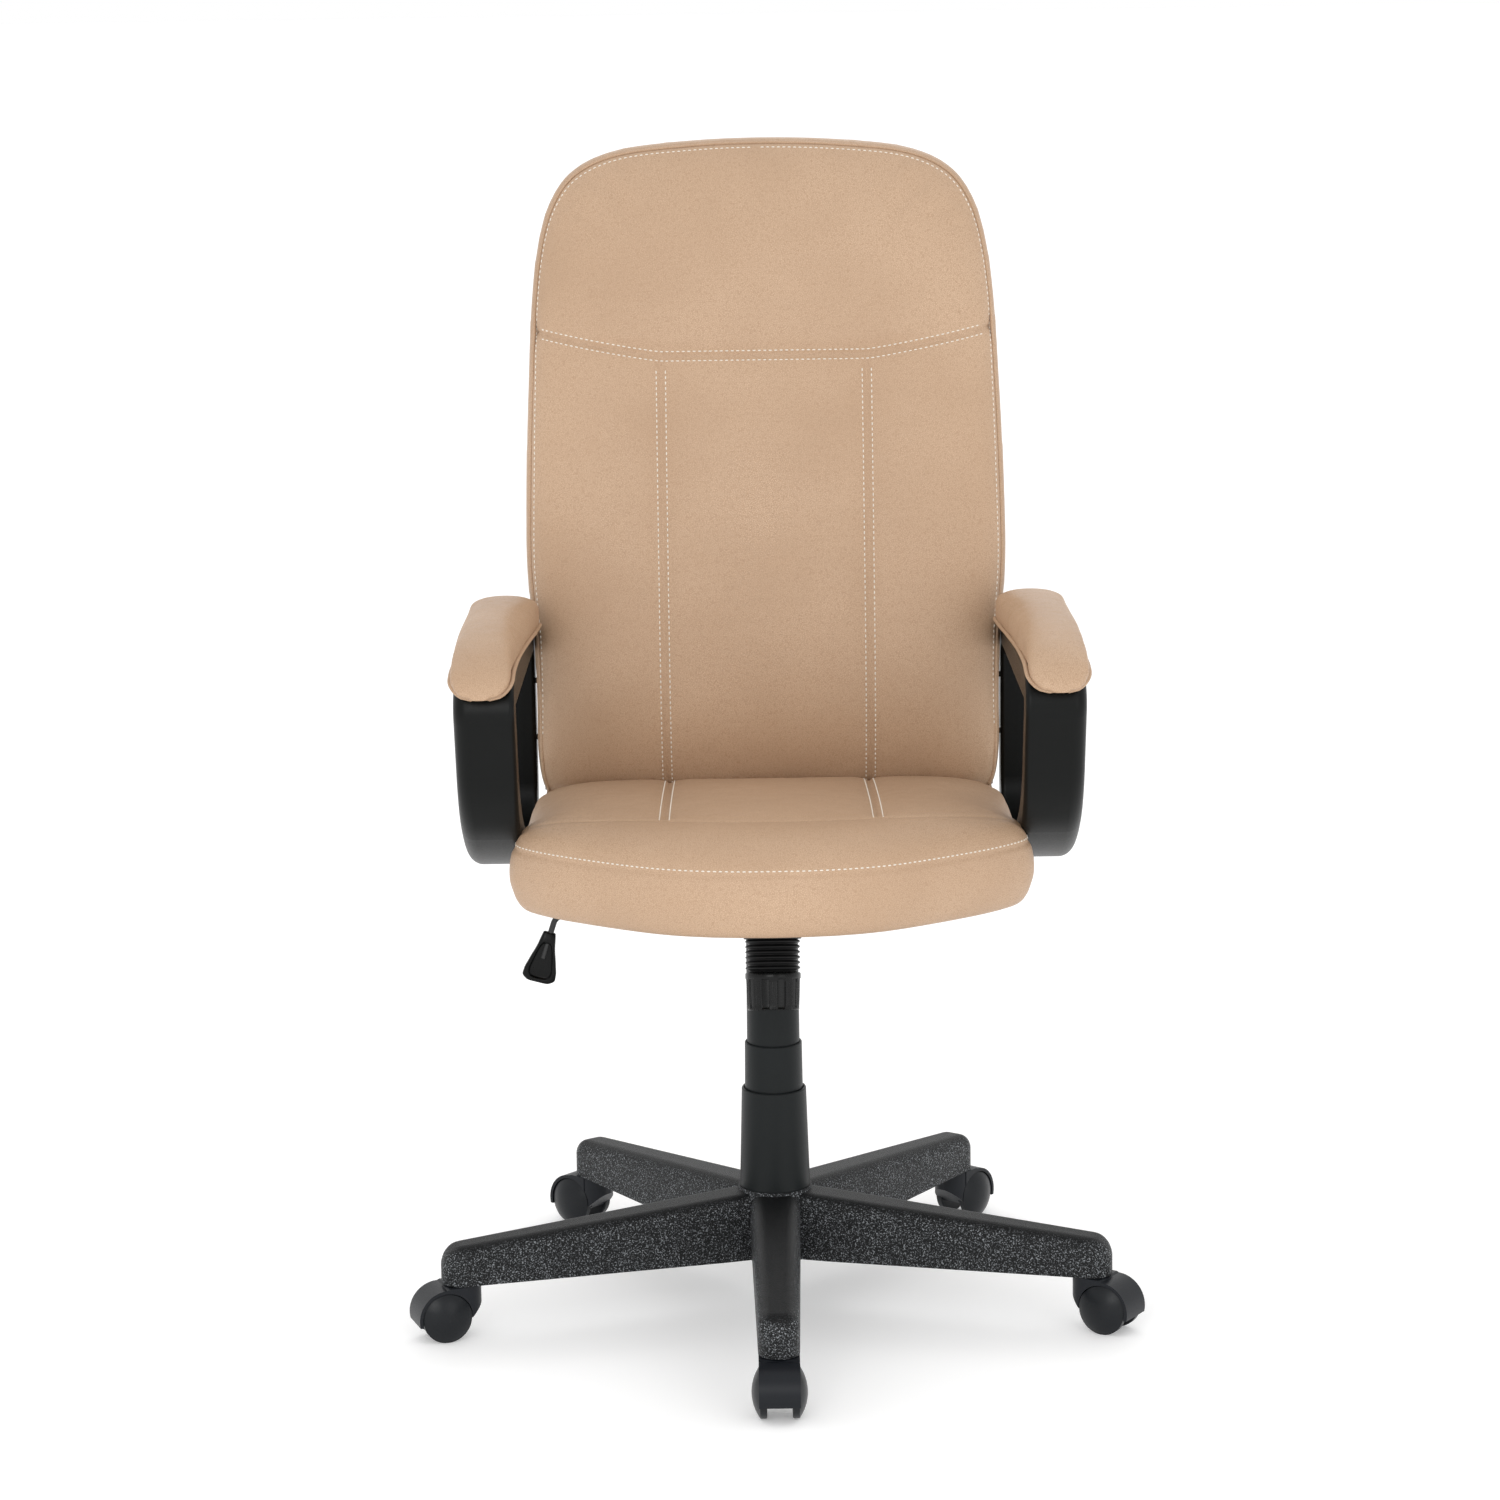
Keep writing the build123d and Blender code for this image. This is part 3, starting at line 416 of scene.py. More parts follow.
def remesh(obj, voxel):
    mod = obj.modifiers.new("remesh", "REMESH")
    mod.mode = "VOXEL"
    mod.voxel_size = voxel
    apply_modifiers(obj)
    smooth = obj.modifiers.new("smooth", "SMOOTH")
    smooth.factor = 0.5
    smooth.iterations = 4
    apply_modifiers(obj)


def inflate(obj, hold, pressure, cap, frames=18):
    """Stuffs a closed cover: cloth under pressure, held where `hold` is 1, moved no more than `cap`."""
    before = coordinates(obj)
    group = obj.vertex_groups.new(name="hold")
    for index, weight in enumerate(hold):
        if weight > 0.01:
            group.add([index], float(weight), "REPLACE")
    cloth = obj.modifiers.new("cloth", "CLOTH")
    settings = cloth.settings
    settings.quality = 4
    settings.mass = 0.35
    settings.tension_stiffness = 22
    settings.compression_stiffness = 10
    settings.shear_stiffness = 8
    settings.bending_stiffness = 0.8
    settings.use_pressure = True
    settings.uniform_pressure_force = pressure
    settings.vertex_group_mass = "hold"
    settings.effector_weights.gravity = 0
    cloth.collision_settings.use_collision = False
    cloth.point_cache.frame_start = 1
    cloth.point_cache.frame_end = frames
    for step in range(1, frames + 1):
        bpy.context.scene.frame_set(step)
    apply_modifiers(obj)
    bpy.context.scene.frame_set(1)
    move = coordinates(obj) - before
    far = np.linalg.norm(move, axis=1)
    share = np.where(far > 1e-9, cap * np.tanh(far / cap) / np.maximum(far, 1e-9), 0)
    set_coordinates(obj, before + move * share[:, None])
    obj.vertex_groups.clear()


def subdivide(obj):
    mod = obj.modifiers.new("subdivision", "SUBSURF")
    mod.levels = 1
    mod.render_levels = 1
    apply_modifiers(obj)


def valley(distance, wide):
    return np.exp(-((distance / wide) ** 2))


def surface_tree(obj):
    mesh = obj.data
    corners = [v.co.copy() for v in mesh.vertices]
    return BVHTree.FromPolygons(corners, [tuple(p.vertices) for p in mesh.polygons])


def drop_on(tree, points, direction, reach=0.3):
    """Points moved along a direction onto a surface, with the surface's normals; misses are left out."""
    found = []
    for point in points:
        start = Vector(point) - Vector(direction) * reach
        hit, normal, _, _ = tree.ray_cast(start, Vector(direction))
        if hit is not None:
            found.append((hit, normal))
    return found


def stitches(name, lines):
    """Rows of short stitches; each line is a list of (point, normal) along the row."""
    verts, faces = [], []
    sides = 6
    for line in lines:
        along = [0.0]
        for (a, _), (b, _) in zip(line, line[1:]):
            along.append(along[-1] + (b - a).length)
        place = 0.0
        while place + STITCH < along[-1]:
            rings = []
            for k, (t, r, sink) in enumerate(((0, 0.25, -0.5), (0.2, 0.9, 0.1), (0.5, 1.0, 0.35),
                                              (0.8, 0.9, 0.1), (1, 0.25, -0.5))):
                s = place + STITCH * t
                i = min(max(int(np.searchsorted(along, s)) - 1, 0), len(line) - 2)
                f = (s - along[i]) / max(along[i + 1] - along[i], 1e-9)
                spot = line[i][0].lerp(line[i + 1][0], f)
                up = line[i][1].lerp(line[i + 1][1], f).normalized()
                way = (line[i + 1][0] - line[i][0]).normalized()
                across = way.cross(up).normalized()
                centre = spot + up * STITCH_R * sink
                rings.append([centre + (across * math.cos(a) * 1.25 + up * math.sin(a)) * STITCH_R * r
                              for a in (2 * math.pi * m / sides for m in range(sides))])
            base = len(verts)
            verts.extend(v for ring in rings for v in ring)
            for r in range(len(rings) - 1):
                for m in range(sides):
                    n = (m + 1) % sides
                    faces.append((base + r * sides + m, base + r * sides + n,
                                  base + (r + 1) * sides + n, base + (r + 1) * sides + m))
            place += STITCH + STITCH_GAP
    return mesh_object(name, verts, faces, THREAD)


def tube(name, points, radius, material, closed=False, sides=10):
    """Round tube along points, smooth at the ends."""
    curve = bpy.data.curves.new(name, "CURVE")
    curve.dimensions = "3D"
    spline = curve.splines.new("POLY")
    spline.points.add(len(points) - 1)
    for point, place in zip(spline.points, points):
        point.co = (*place, 1)
    spline.use_cyclic_u = closed
    curve.bevel_depth = radius
    curve.bevel_resolution = sides // 4
    curve.use_fill_caps = True
    obj = bpy.data.objects.new(name, curve)
    bpy.context.scene.collection.objects.link(obj)
    mesh = bpy.data.meshes.new_from_object(obj)
    bpy.data.objects.remove(obj)
    mesh.materials.clear()
    mesh.materials.append(material)
    made = bpy.data.objects.new(name, mesh)
    bpy.context.scene.collection.objects.link(made)
    mesh.polygons.foreach_set("use_smooth", [True] * len(mesh.polygons))
    return made


def outline_distance(points, loop):
    """Distance of flat points from a closed outline."""
    best = np.full(len(points), 1e9)
    for a, b in zip(loop, np.roll(loop, -1, axis=0)):
        edge = b - a
        t = np.clip(((points - a) @ edge) / (edge @ edge), 0, 1)
        best = np.minimum(best, np.linalg.norm(points - a - t[:, None] * edge, axis=1))
    return best


# ---------------------------------------------------------------- seat cushion
# points round the seat outline
LOOP = 260
seat_loop = smooth_loop(mirrored_loop(SEAT_OUTLINE, (0, SEAT_FRONT), (0, SEAT_REAR)), LOOP)
SEAT_MIDDLE = np.array((0.0, -0.04))


def seat_height(points):
    """Height of the crowned top: the middle profile, rolled down to the boxing at the outline."""
    edge = outline_distance(points, seat_loop)
    crown = interpolate(SEAT_CROWN, points[:, 1])
    rim = np.minimum(SEAT_EDGE_Z, crown - 0.004)
    roll = np.clip(edge / 0.075, 0, 1)
    return rim + (crown - rim) * np.sqrt(1 - (1 - roll) ** 2)


seat_rings = []
for share in np.linspace(0.02, 1, 44):
    flat = SEAT_MIDDLE + (seat_loop - SEAT_MIDDLE) * share
    seat_rings.append(np.column_stack([flat, seat_height(flat)]))
rim = seat_rings[-1]
# the boxing swells below its seam and tucks in under the seat
for drop, swell in ((0.08, 0.0012), (0.2, 0.003), (0.35, 0.0042), (0.5, 0.004), (0.65, 0.0016),
                    (0.78, -0.0012), (0.88, -0.0042), (0.95, -0.0078), (1.0, -0.0125)):
    out = seat_loop + (seat_loop - SEAT_MIDDLE) * (swell / 0.25)
    z = rim[:, 2] + (SEAT_LOW.z + 0.0008 - rim[:, 2]) * drop
    seat_rings.append(np.column_stack([out, z]))
for share in np.linspace(0.85, 0.03, 12):
    flat = SEAT_MIDDLE + (seat_loop - SEAT_MIDDLE) * share
    seat_rings.append(np.column_stack([flat, np.full(LOOP, SEAT_LOW.z + 0.0008)]))
seat = rings_object("seat_cover", seat_rings, LEATHER)
remesh(seat, 0.0052)


def seat_cross_seam(x):
    """Depth of the seam across the seat, which bows back towards the sides."""
    return -0.198 + 0.055 * (np.abs(x) / 0.24) ** 2


def seat_seams(points):
    """Distance from the nearest sewn line of the seat's top."""
    behind = points[:, 1] > seat_cross_seam(points[:, 0])
    long_seam = np.where(behind, np.abs(np.abs(points[:, 0]) - SEAT_SEAM_X), 1.0)
    cross = np.abs(points[:, 1] - seat_cross_seam(points[:, 0]))
    return np.minimum(long_seam, cross)


points = coordinates(seat)
on_top = points[:, 2] > SEAT_EDGE_Z - 0.012
seams = seat_seams(points)
edge_gap = outline_distance(points[:, :2], seat_loop)
hold = np.where(on_top, valley(seams, 0.006), 0)
hold = np.maximum(hold, valley(points[:, 2] - SEAT_EDGE_Z, 0.005) * (edge_gap < 0.012))
hold = np.maximum(hold, points[:, 2] < SEAT_LOW.z + 0.01)
inflate(seat, hold, 5.0, 0.007)
subdivide(seat)
points = coordinates(seat)
up = normals(seat)
edge_gap = outline_distance(points[:, :2], seat_loop)
on_top = np.clip((points[:, 2] - SEAT_EDGE_Z + 0.006) / 0.006, 0, 1)
share = np.where(np.abs(points[:, 1] - seat_cross_seam(points[:, 0])) < 0.012, 0.4, 1.0)
groove = valley(seat_seams(points), 0.0022) * 0.0026 * on_top * share
groove += valley(seat_seams(points), 0.011) * 0.0022 * on_top * share
# the sewn edge between top and boxing
groove += valley(points[:, 2] - SEAT_EDGE_Z + 0.0005, 0.0022) * 0.0014 * (edge_gap < 0.02)
set_coordinates(seat, points - up * groove[:, None])
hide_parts("seat_cushion")
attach(seat, "seat")
seat_tree = surface_tree(seat)

rows = []
for side in (-1, 1):
    for shift in (-ROW, ROW):
        x = side * (SEAT_SEAM_X + shift)
        first = float(seat_cross_seam(x)) + 0.004
        rows.append(drop_on(seat_tree, [(x, y, 0.6) for y in np.arange(first, 0.135, 0.004)], (0, 0, -1)))
# stitches round the front of the boxing, just above its seam
ring = [p for p in seat_loop if p[1] < -0.05]
ring.sort(key=lambda p: math.atan2(p[0], -p[1] + 0.3))
line = []
for p in ring:
    way = Vector((-p[0], -p[1] - 0.06, 0)).normalized()
    hit, normal, _, _ = seat_tree.ray_cast(Vector((p[0], p[1], SEAT_EDGE_Z + 0.0032)) - way * 0.05, way)
    if hit is not None:
        line.append((hit, normal))
rows.append(line)
seat_thread = stitches("seat_stitching", rows)
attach(seat_thread, "seat")

# ---------------------------------------------------------------- back cushion
back_loop = smooth_loop(mirrored_loop(BACK_OUTLINE, (0, BACK_TOP), (0, BACK_BOTTOM)), 320)
BACK_MIDDLE = np.array((0.0, 0.80))


def inset_loop(loop, amount):
    """A closed outline moved inwards by an amount."""
    way = np.roll(loop, -1, axis=0) - np.roll(loop, 1, axis=0)
    out = np.stack([way[:, 1], -way[:, 0]], axis=1)
    out /= np.linalg.norm(out, axis=1)[:, None]
    out *= np.sign(np.sum(out * (loop - BACK_MIDDLE)))
    return loop - out * amount


front_loop = inset_loop(back_loop, BACK_EDGE_INSET)


def back_front(points):
    """Depth of the back's padded front, which rolls back towards its sewn edge."""
    edge = outline_distance(points, front_loop)
    roll = np.clip(edge / BACK_ROLL_WIDE, 0, 1)
    # less roll near the bottom, where the seat holds it
    deep = BACK_ROLL * np.clip((points[:, 1] - 0.50) / 0.12, 0.35, 1)
    return interpolate(BACK_CURVE, points[:, 1]) + deep * (1 - np.sqrt(1 - (1 - roll) ** 2.2))


back_rings = []
for share in np.linspace(0.015, 1, 60):
    flat = BACK_MIDDLE + (front_loop - BACK_MIDDLE) * share
    back_rings.append(np.column_stack([flat[:, 0], back_front(flat), flat[:, 1]]))
rim = back_rings[-1]
# the side band swells past the front panel's seam
for deep, inset in ((0.12, 0.003), (0.3, 0.001), (0.55, 0.0), (0.8, 0.001), (1.0, 0.003)):
    flat = inset_loop(back_loop, inset)
    rear = interpolate(BACK_CURVE, flat[:, 1]) + BACK_THICK - 0.0008
    back_rings.append(np.column_stack([flat[:, 0], rim[:, 1] + (rear - rim[:, 1]) * deep, flat[:, 1]]))
for share in np.linspace(0.93, 0.03, 14):
    flat = BACK_MIDDLE + (back_loop - BACK_MIDDLE) * share
    y = interpolate(BACK_CURVE, flat[:, 1]) + BACK_THICK - 0.0008
    back_rings.append(np.column_stack([flat[:, 0], y, flat[:, 1]]))
back = rings_object("back_cover", back_rings, LEATHER)
remesh(back, 0.0055)


def yoke_height(x):
    """Height of the seam across the shoulders."""
    past = (np.abs(x) - BACK_SEAM_X) / (0.24 - BACK_SEAM_X)
    return BACK_YOKE_Z + BACK_YOKE_RISE * np.where(past > 0, past, 0) ** 1.15


def back_seams(points):
    """Distance from the nearest sewn line of the back's front."""
    below = points[:, 2] < yoke_height(points[:, 0])
    down = np.where(below, np.abs(np.abs(points[:, 0]) - BACK_SEAM_X), 1.0)
    across = np.abs(points[:, 2] - yoke_height(points[:, 0]))
    return np.minimum(down, across)


points = coordinates(back)
front_gap = points[:, 1] - interpolate(BACK_CURVE, points[:, 2])
in_front = front_gap < BACK_ROLL + 0.002
edge_gap = outline_distance(points[:, (0, 2)], back_loop)
hold = np.where(in_front, valley(back_seams(points), 0.006), 0)
hold = np.maximum(hold, (edge_gap < 0.009) * valley(front_gap - BACK_ROLL, 0.005))
hold = np.maximum(hold, front_gap > BACK_THICK - 0.006)
inflate(back, hold, 5.0, 0.008)
subdivide(back)
points = coordinates(back)
up = normals(back)
front_gap = points[:, 1] - interpolate(BACK_CURVE, points[:, 2])
edge_gap = outline_distance(points[:, (0, 2)], back_loop)
facing = np.clip(-up[:, 1] * 3, 0, 1)
groove = valley(back_seams(points), 0.0022) * 0.0026 * facing
groove += valley(back_seams(points), 0.012) * 0.0022 * facing
groove += valley(front_gap - BACK_ROLL - 0.001, 0.0025) * 0.002 * (edge_gap < 0.02)
set_coordinates(back, points - up * groove[:, None])
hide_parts("back_cushion")
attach(back, "seat")
back_tree = surface_tree(back)

rows = []
for side in (-1, 1):
    for shift in (-ROW, ROW):
        x = side * (BACK_SEAM_X + shift)
        top = float(yoke_height(x)) - 0.006
        rows.append(drop_on(back_tree, [(x, 0, z) for z in np.arange(0.508, top, 0.004)], (0, 1, 0)))
for shift in (-ROW, ROW):
    rows.append(drop_on(back_tree, [(x, 0, float(yoke_height(x)) + shift)
                                    for x in np.arange(-0.229, 0.2291, 0.004)], (0, 1, 0)))
# stitches round the front panel, inside its edge, where it stands higher than 0.56 m
line = []
for p in back_loop:
    way = Vector((BACK_MIDDLE[0] - p[0], 0, BACK_MIDDLE[1] - p[1])).normalized()
    spot = Vector((p[0], 0, p[1])) + way * (BACK_EDGE_INSET + 0.0045)
    if p[1] > 0.56:
        line.extend(drop_on(back_tree, [spot], (0, 1, 0)))
    elif line and line[-1] is not None:
        line.append(None)
parts, run = [], []
for item in line + [None]:
    if item is None:
        if len(run) > 3:
            parts.append(run)
        run = []
    else:
        run.append(item)
rows.extend(parts)
back_thread = stitches("back_stitching", rows)
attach(back_thread, "seat")
welt = [tuple(v) for v in rim + np.array((0, 0.0015, 0))]
back_welt = tube("back_welt", welt, 0.0019, LEATHER, closed=True)
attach(back_welt, "seat")

# ---------------------------------------------------------------- rear panel of the back
PANEL_INSET = 0.005
PANEL_THICK = 0.0118
panel_loop = BACK_MIDDLE + (back_loop - BACK_MIDDLE) * (1 - PANEL_INSET / 0.24)
panel_rings = []
for share in np.linspace(0.02, 0.97, 30):
    flat = BACK_MIDDLE + (panel_loop - BACK_MIDDLE) * share
    panel_rings.append(np.column_stack([flat[:, 0], interpolate(BACK_CURVE, flat[:, 1]) + BACK_THICK
                                        + 0.0006, flat[:, 1]]))
for share, deep in ((0.985, 0.0008), (0.996, 0.0025), (1.0, 0.006), (0.995, 0.0095), (0.98, PANEL_THICK)):
    flat = BACK_MIDDLE + (panel_loop - BACK_MIDDLE) * share
    panel_rings.append(np.column_stack([flat[:, 0], interpolate(BACK_CURVE, flat[:, 1]) + BACK_THICK
                                        + deep, flat[:, 1]]))
for share in np.linspace(0.95, 0.02, 30):
    flat = BACK_MIDDLE + (panel_loop - BACK_MIDDLE) * share
    swell = 0.0015 * np.clip(outline_distance(flat, panel_loop) / 0.12, 0, 1)
    panel_rings.append(np.column_stack([flat[:, 0], interpolate(BACK_CURVE, flat[:, 1]) + BACK_THICK
                                        + PANEL_THICK + swell, flat[:, 1]]))
panel = rings_object("rear_panel", panel_rings, LEATHER)
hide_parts("back_panel")
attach(panel, "seat")

# ---------------------------------------------------------------- arm pads
# height of the pad's underside, on its tray
PAD_BED = 0.6866
# share of half the pad's height by which its upright flank reaches below the middle
PAD_BELLY = 0.45
# height over which the front of the pad rounds off to its tip
PAD_NOSE = 0.027
# side profile of the pad, rear to front: (share of the way, depth, height)
PAD_TOP_LINE = [(0.0, 0.1115, 0.7200), (0.35, -0.030, 0.7220), (0.55, -0.110, 0.7205),
                (0.68, -0.160, 0.7150), (0.79, -0.198, 0.7040), (0.88, -0.222, 0.6900),
                (0.95, -0.2345, 0.6765), (1.0, -0.2385, 0.6670)]
PAD_UNDER_LINE = [(0.0, 0.1115, 0.6866), (0.35, -0.030, 0.6866), (0.55, -0.100, 0.6866),
                  (0.68, -0.150, 0.6866), (0.79, -0.182, 0.6860), (0.88, -0.200, 0.6820),
                  (0.95, -0.2105, 0.6755), (1.0, -0.2155, 0.6690)]


def pad_station(share):
    """Top and under points of the pad's side profile, from the rear (0) to the rolled front (1)."""
    return tuple(tuple(float(interpolate([(row[0], row[k]) for row in line], share)) for k in (1, 2))
                 for line in (PAD_TOP_LINE, PAD_UNDER_LINE))


def pad_sides(y):
    """Inner and outer |X| of the pad at a depth."""
    inner = interpolate([(-0.24, 0.2445), (-0.10, 0.243), (0.0, 0.2385), (0.06, 0.2345), (0.112, 0.2325)], y)
    return float(inner), 0.3045


def build_pad(side, name, node):
    """A loaf-shaped pad over its tray, with piping round its lower edge."""
    rings = []
    count = 72
    sides = 64
    for k in range(count + 1):
        share = k / count
        (ty, tz), (by, bz) = pad_station(share)
        inner, outer = pad_sides(ty)
        # both ends close smoothly, the front one as a wide half round
        rear = min(1.0, share / 0.03)
        front = min(1.0, (tz - PAD_TOP_LINE[-1][2]) / PAD_NOSE)
        grow = (0.6 + 0.4 * math.sqrt(1 - (1 - rear) ** 2)) * (0.3 + 0.7 * math.sqrt(1 - (1 - front) ** 2))
        lift = 0.8 + 0.2 * math.sqrt(1 - (1 - front) ** 2)
        ring = []
        for m in range(sides):
            angle = 2 * math.pi * m / sides
            c, s = math.cos(angle), math.sin(angle)
            across = math.copysign(abs(c) ** (0.86 if s > 0 else 0.5), c) * grow
            rise = math.copysign(abs(s) ** (0.8 if s > 0 else 0.28), s)
            rise = rise * lift if s > 0 else rise
            mid = (0.5 * (ty + by), 0.5 * (tz + bz))
            half = (0.5 * (ty - by), 0.5 * (tz - bz))
            # the widest line is low on the section
            if s > 0:
                rise = (rise + 1) / 2 * (1 + PAD_BELLY) - PAD_BELLY
            else:
                rise = rise * (1 - PAD_BELLY) - PAD_BELLY
            x = 0.5 * (inner + outer) + 0.5 * (outer - inner) * across
            ring.append((side * x, mid[0] + half[0] * rise, mid[1] + half[1] * rise))
        rings.append(np.array(ring))
    pad = rings_object(name, rings, LEATHER)
    remesh(pad, 0.0042)
    points = coordinates(pad)
    hold = np.clip((PAD_BED + 0.006 - points[:, 2]) / 0.004, 0, 1) * (points[:, 1] > -0.17)
    inflate(pad, hold, 4.0, 0.0025, frames=14)
    subdivide(pad)
    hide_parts(node)
    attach(pad, "seat")
    # piping along the outer edge, round the front and back along the inner edge
    low = round(sides * 0.965)
    far = round(sides * 0.535)
    edge = [ring[low] for ring in rings]
    edge += [rings[-1][m] for m in range(low - 1, far, -1)]
    edge += [ring[far] for ring in reversed(rings)]
    piping = tube(f"{name}_piping", [tuple(p) for p in edge], 0.0024, LEATHER)
    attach(piping, "seat")


for side, word in ((-1, "left"), (1, "right")):
    build_pad(side, f"armrest_cover_{word}", f"arm_pad_{word}")

# ---------------------------------------------------------------- dust cloth under the seat
cloth_loop = SEAT_MIDDLE + (seat_loop - SEAT_MIDDLE) * (1 - 0.027 / 0.24)
cloth_rings = []
for share in np.linspace(0.03, 1, 30):
    flat = SEAT_MIDDLE + (cloth_loop - SEAT_MIDDLE) * share
    wave = 0.0002 * np.sin(flat[:, 0] * 60) * np.sin(flat[:, 1] * 47)
    cloth_rings.append(np.column_stack([flat, np.full(LOOP, SEAT_LOW.z + 0.0003) + wave]))
dust = rings_object("dust_cover", cloth_rings + [r + np.array((0, 0, 0.0010)) for r in cloth_rings[::-1]],
                    CLOTH)
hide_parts("seat_underside")
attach(dust, "seat")

# ---------------------------------------------------------------- bellows over the tension spring
LEAN = math.radians(14)
FOOT = Vector((0, -0.120, 0.3365))
AXIS = Vector((0, math.sin(LEAN), math.cos(LEAN)))
SIDE = Vector((1, 0, 0))
FRONT = AXIS.cross(SIDE)


def lathe(name, profile, material, sides=72):
    """Turned shape about the tension axis from (radius, height) pairs."""
    rings = []
    for radius, height in profile:
        centre = FOOT + AXIS * height
        rings.append([centre + (SIDE * math.cos(a) + FRONT * math.sin(a)) * radius
                      for a in (2 * math.pi * m / sides for m in range(sides))])
    return rings_object(name, [np.array([tuple(v) for v in ring]) for ring in rings], material, False)


fins = [(0.0222, 0.030), (0.0234, 0.030), (0.0236, 0.0385)]
FIN_PITCH = 0.0052
for fin in range(6):
    low = 0.0388 + fin * FIN_PITCH
    for part, radius in ((0.12, 0.0242), (0.3, 0.0262), (0.45, 0.0271), (0.58, 0.0271), (0.75, 0.0262),
                         (0.93, 0.0242)):
        fins.append((radius, low + part * FIN_PITCH))
fins += [(0.0243, 0.0698), (0.0228, 0.0698)]
bellows = lathe("spring_bellows", fins, FINISHES["sleeve_rubber"])
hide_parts("spring_sleeve")
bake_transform(bellows)

PANELS = 10
# (radius, height) across the foot, up the outside, over the rim and down the bore
knob_profile = [(0.018, 0.0), (0.0248, 0.0), (0.0257, 0.0008), (0.0260, 0.003), (0.0262, 0.006),
                (0.0265, 0.012), (0.0268, 0.02), (0.0270, 0.027), (0.0271, 0.030), (0.02735, 0.0312),
                (0.0275, 0.0325), (0.0275, 0.0355), (0.0269, 0.0369), (0.0255, 0.037), (0.0250, 0.0365),
                (0.0250, 0.010)]
knob_sides = 360
knob_rings = []
for radius, height in knob_profile:
    centre = FOOT + AXIS * height
    ring = []
    for m in range(knob_sides):
        turn = m / knob_sides * PANELS % 1.0
        cut = 0.0
        if 0.0025 < height < 0.0305 and radius > 0.0255:
            # a flat raised tab in each panel, with fine upright grooves, between plain hollows
            tab = abs(turn - 0.5) < 0.27
            cut = 0.0002 + 0.0003 * (0.5 + 0.5 * math.cos(turn * PANELS * 8)) if tab else 0.0013
        angle = 2 * math.pi * (m / knob_sides) - math.pi / 2 - math.pi / PANELS
        ring.append(tuple(centre + (SIDE * math.cos(angle) - FRONT * math.sin(angle)) * (radius - cut)))
    knob_rings.append(np.array(ring))
knob = rings_object("tension_knob_grip", knob_rings, FINISHES["knob_plastic"])
edges = knob.modifiers.new("edges", "EDGE_SPLIT")
edges.split_angle = math.radians(50)
apply_modifiers(knob)
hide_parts("tension_knob")
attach(knob, "knob")

# ---------------------------------------------------------------- lever paddle
_, PADDLE_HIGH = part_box("lever_paddle")
PADDLE_TOP = Vector((-0.225, 0.0, PADDLE_HIGH.z))
PADDLE_LEAN = math.radians(15)
PADDLE_DOWN = Vector((-math.sin(PADDLE_LEAN), 0, -math.cos(PADDLE_LEAN)))
PADDLE_ACROSS = Vector((math.cos(PADDLE_LEAN), 0, -math.sin(PADDLE_LEAN)))
PADDLE_LONG = 0.0535
paddle_rings = []
for k in range(49):
    s = k / 48
    wide = float(interpolate([(0.0, 0.0062), (0.08, 0.0072), (0.3, 0.0095), (0.6, 0.0142), (0.82, 0.0168),
                              (0.93, 0.0160), (1.0, 0.0105)], s))
    thick = float(interpolate([(0.0, 0.0034), (0.08, 0.0046), (0.5, 0.0052), (0.85, 0.0046),
                               (1.0, 0.0018)], s))
    centre = PADDLE_TOP + PADDLE_DOWN * (PADDLE_LONG * s)
    ring = []
    for m in range(72):
        a = 2 * math.pi * m / 72
        u = math.copysign(abs(math.cos(a)) ** 0.5, math.cos(a))
        v = math.copysign(abs(math.sin(a)) ** 0.6, math.sin(a))
        # thumb dish inside a raised rim, on the side that faces forward
        inside = 1 - min(1.0, (u / 0.74) ** 4 + ((s - 0.56) / 0.37) ** 4)
        dish = 0.0034 * min(1.0, inside * 3.0) if v < 0 else 0.0
        ring.append(tuple(centre + PADDLE_ACROSS * (wide * u) + Vector((0, thick * v + dish, 0))))
    paddle_rings.append(np.array(ring))
paddle = rings_object("lever_paddle_grip", paddle_rings, FINISHES["lever_plastic"])
subdivide(paddle)
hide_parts("lever_paddle")
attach(paddle, "lever")

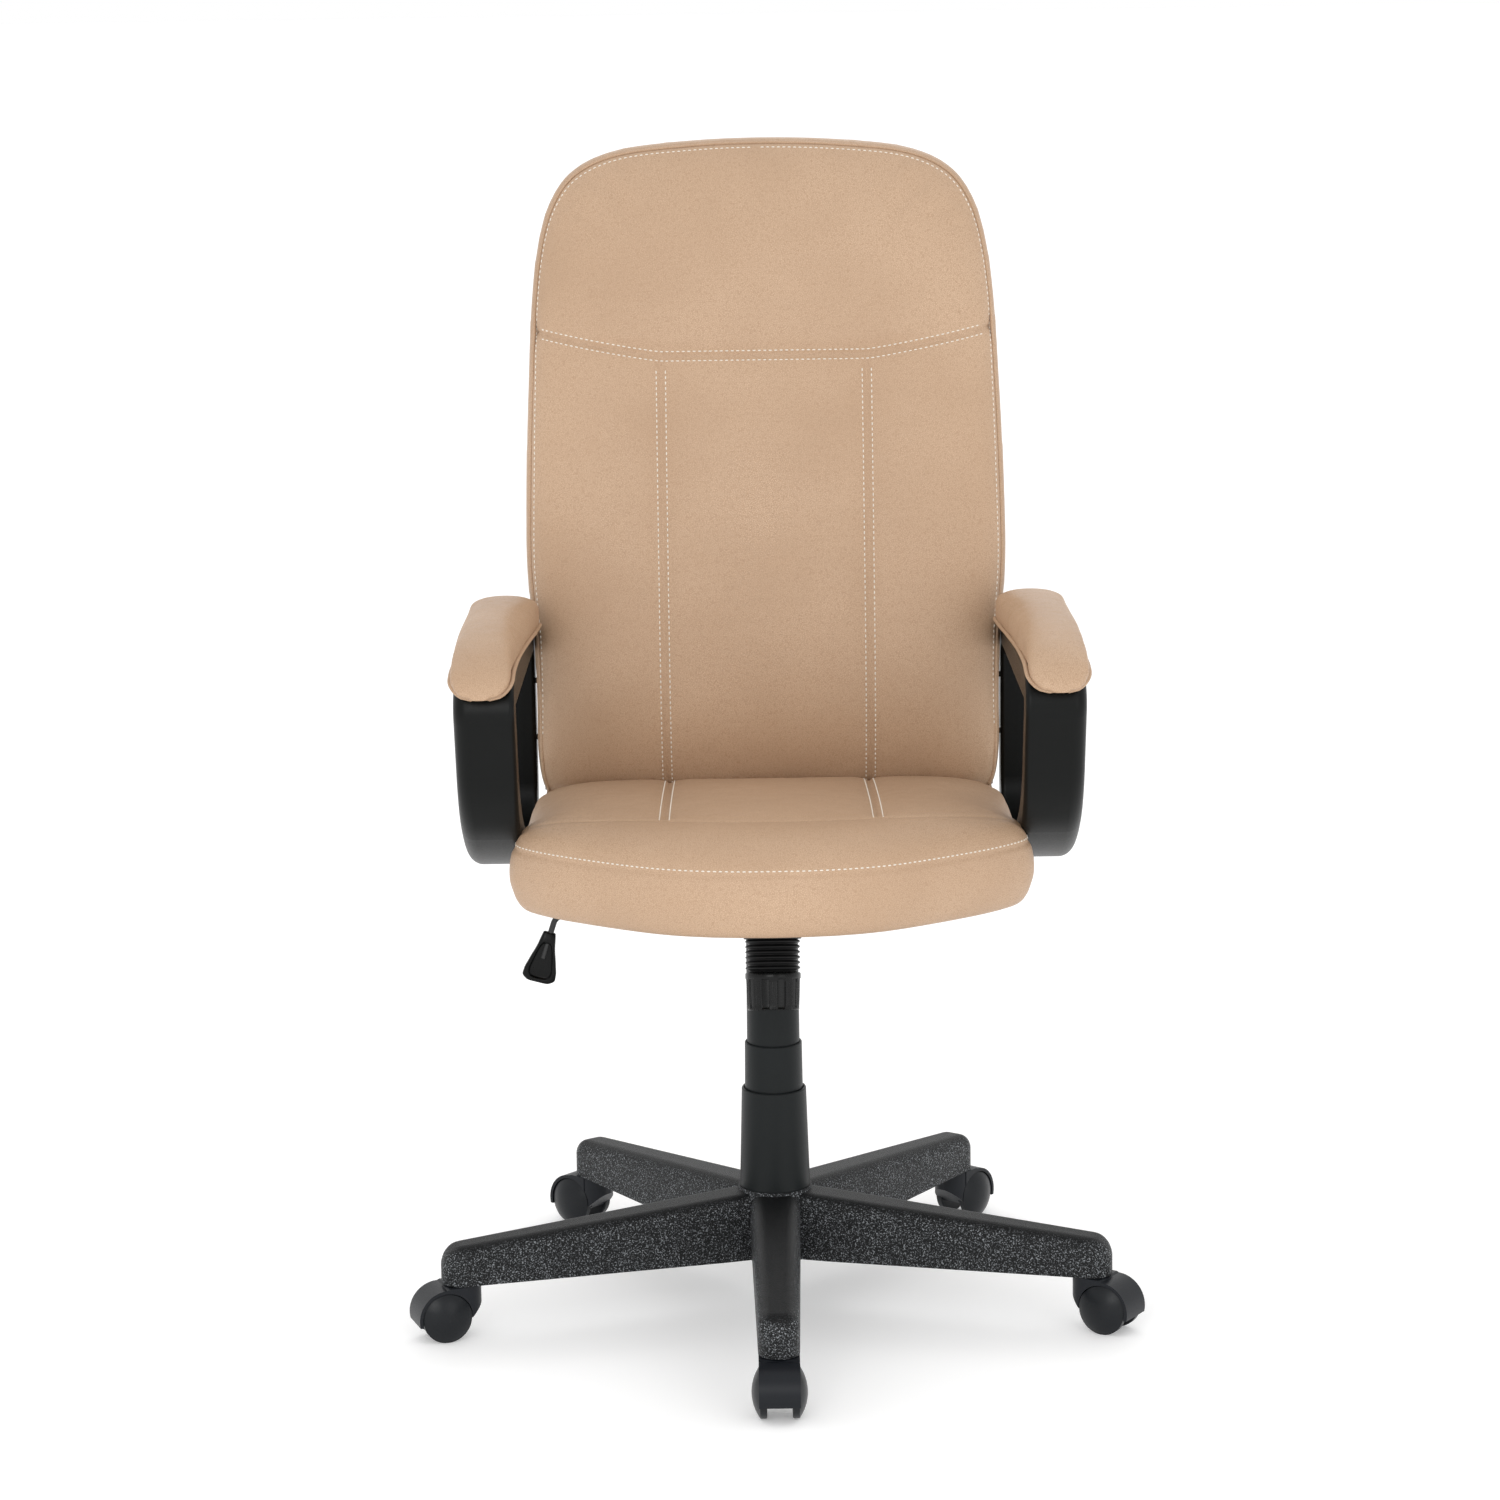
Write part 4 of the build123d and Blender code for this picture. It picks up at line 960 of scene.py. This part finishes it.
# ---------------------------------------------------------------- studio
FLOOR_HALF = 400
floor_mat, floor_tree, floor_shader, floor_coords = new_material("floor")
speck = noise_node(floor_tree, floor_coords, 3, 2)
floor_tree.links.new(mix_colors(floor_tree, speck, (0.90, 0.90, 0.90), (0.92, 0.92, 0.92)),
                     floor_shader.inputs["Base Color"])
floor_shader.inputs["Roughness"].default_value = 0.7
floor_shader.inputs["Specular IOR Level"].default_value = 0.2
# a lit sweep: the floor glows a little, so that it clips to white round the shadows
floor_shader.inputs["Emission Color"].default_value = (1, 1, 1, 1)
floor_shader.inputs["Emission Strength"].default_value = 0.22
floor = mesh_object("floor", [(-FLOOR_HALF, -FLOOR_HALF, 0), (FLOOR_HALF, -FLOOR_HALF, 0),
                              (FLOOR_HALF, FLOOR_HALF, 0), (-FLOOR_HALF, FLOOR_HALF, 0)],
                    [(0, 1, 2, 3)], floor_mat, smooth=False)

world = bpy.context.scene.world or bpy.data.worlds.new("studio")
bpy.context.scene.world = world
world.use_nodes = True
world.node_tree.nodes["Background"].inputs["Color"].default_value = (1, 1, 1, 1)
world.node_tree.nodes["Background"].inputs["Strength"].default_value = 1.0
bpy.context.scene.view_settings.view_transform = "Standard"


def area_light(name, place, target, size, power):
    light = bpy.data.lights.new(name, "AREA")
    light.shape = "RECTANGLE"
    light.size, light.size_y = size
    light.energy = power
    obj = bpy.data.objects.new(name, light)
    bpy.context.scene.collection.objects.link(obj)
    obj.location = place
    obj.rotation_euler = (Vector(target) - Vector(place)).to_track_quat("-Z", "Y").to_euler()


area_light("key", (-0.7, -3.0, 1.5), (0, 0, 0.7), (1.4, 1.4), 20)
area_light("fill", (1.9, -2.6, 1.2), (0, 0, 0.7), (1.4, 1.8), 8)
area_light("rim", (0.4, 2.6, 2.6), (0, 0.2, 0.9), (1.8, 1.0), 8)

CAMERA_PLACE = (-0.0196, -3.952, 1.3149)
CAMERA_PITCH = math.radians(10.6)
CAMERA_ROLL = math.radians(-0.8)
camera = bpy.data.objects.new("camera", bpy.data.cameras.new("camera"))
camera.data.sensor_width = 36
camera.data.lens = 96
camera.data.clip_end = 2000
bpy.context.scene.collection.objects.link(camera)
camera.matrix_world = (Matrix.Translation(CAMERA_PLACE) @ Matrix.Rotation(math.pi / 2 - CAMERA_PITCH, 4, "X")
                       @ Matrix.Rotation(CAMERA_ROLL, 4, "Z"))
bpy.context.scene.camera = camera
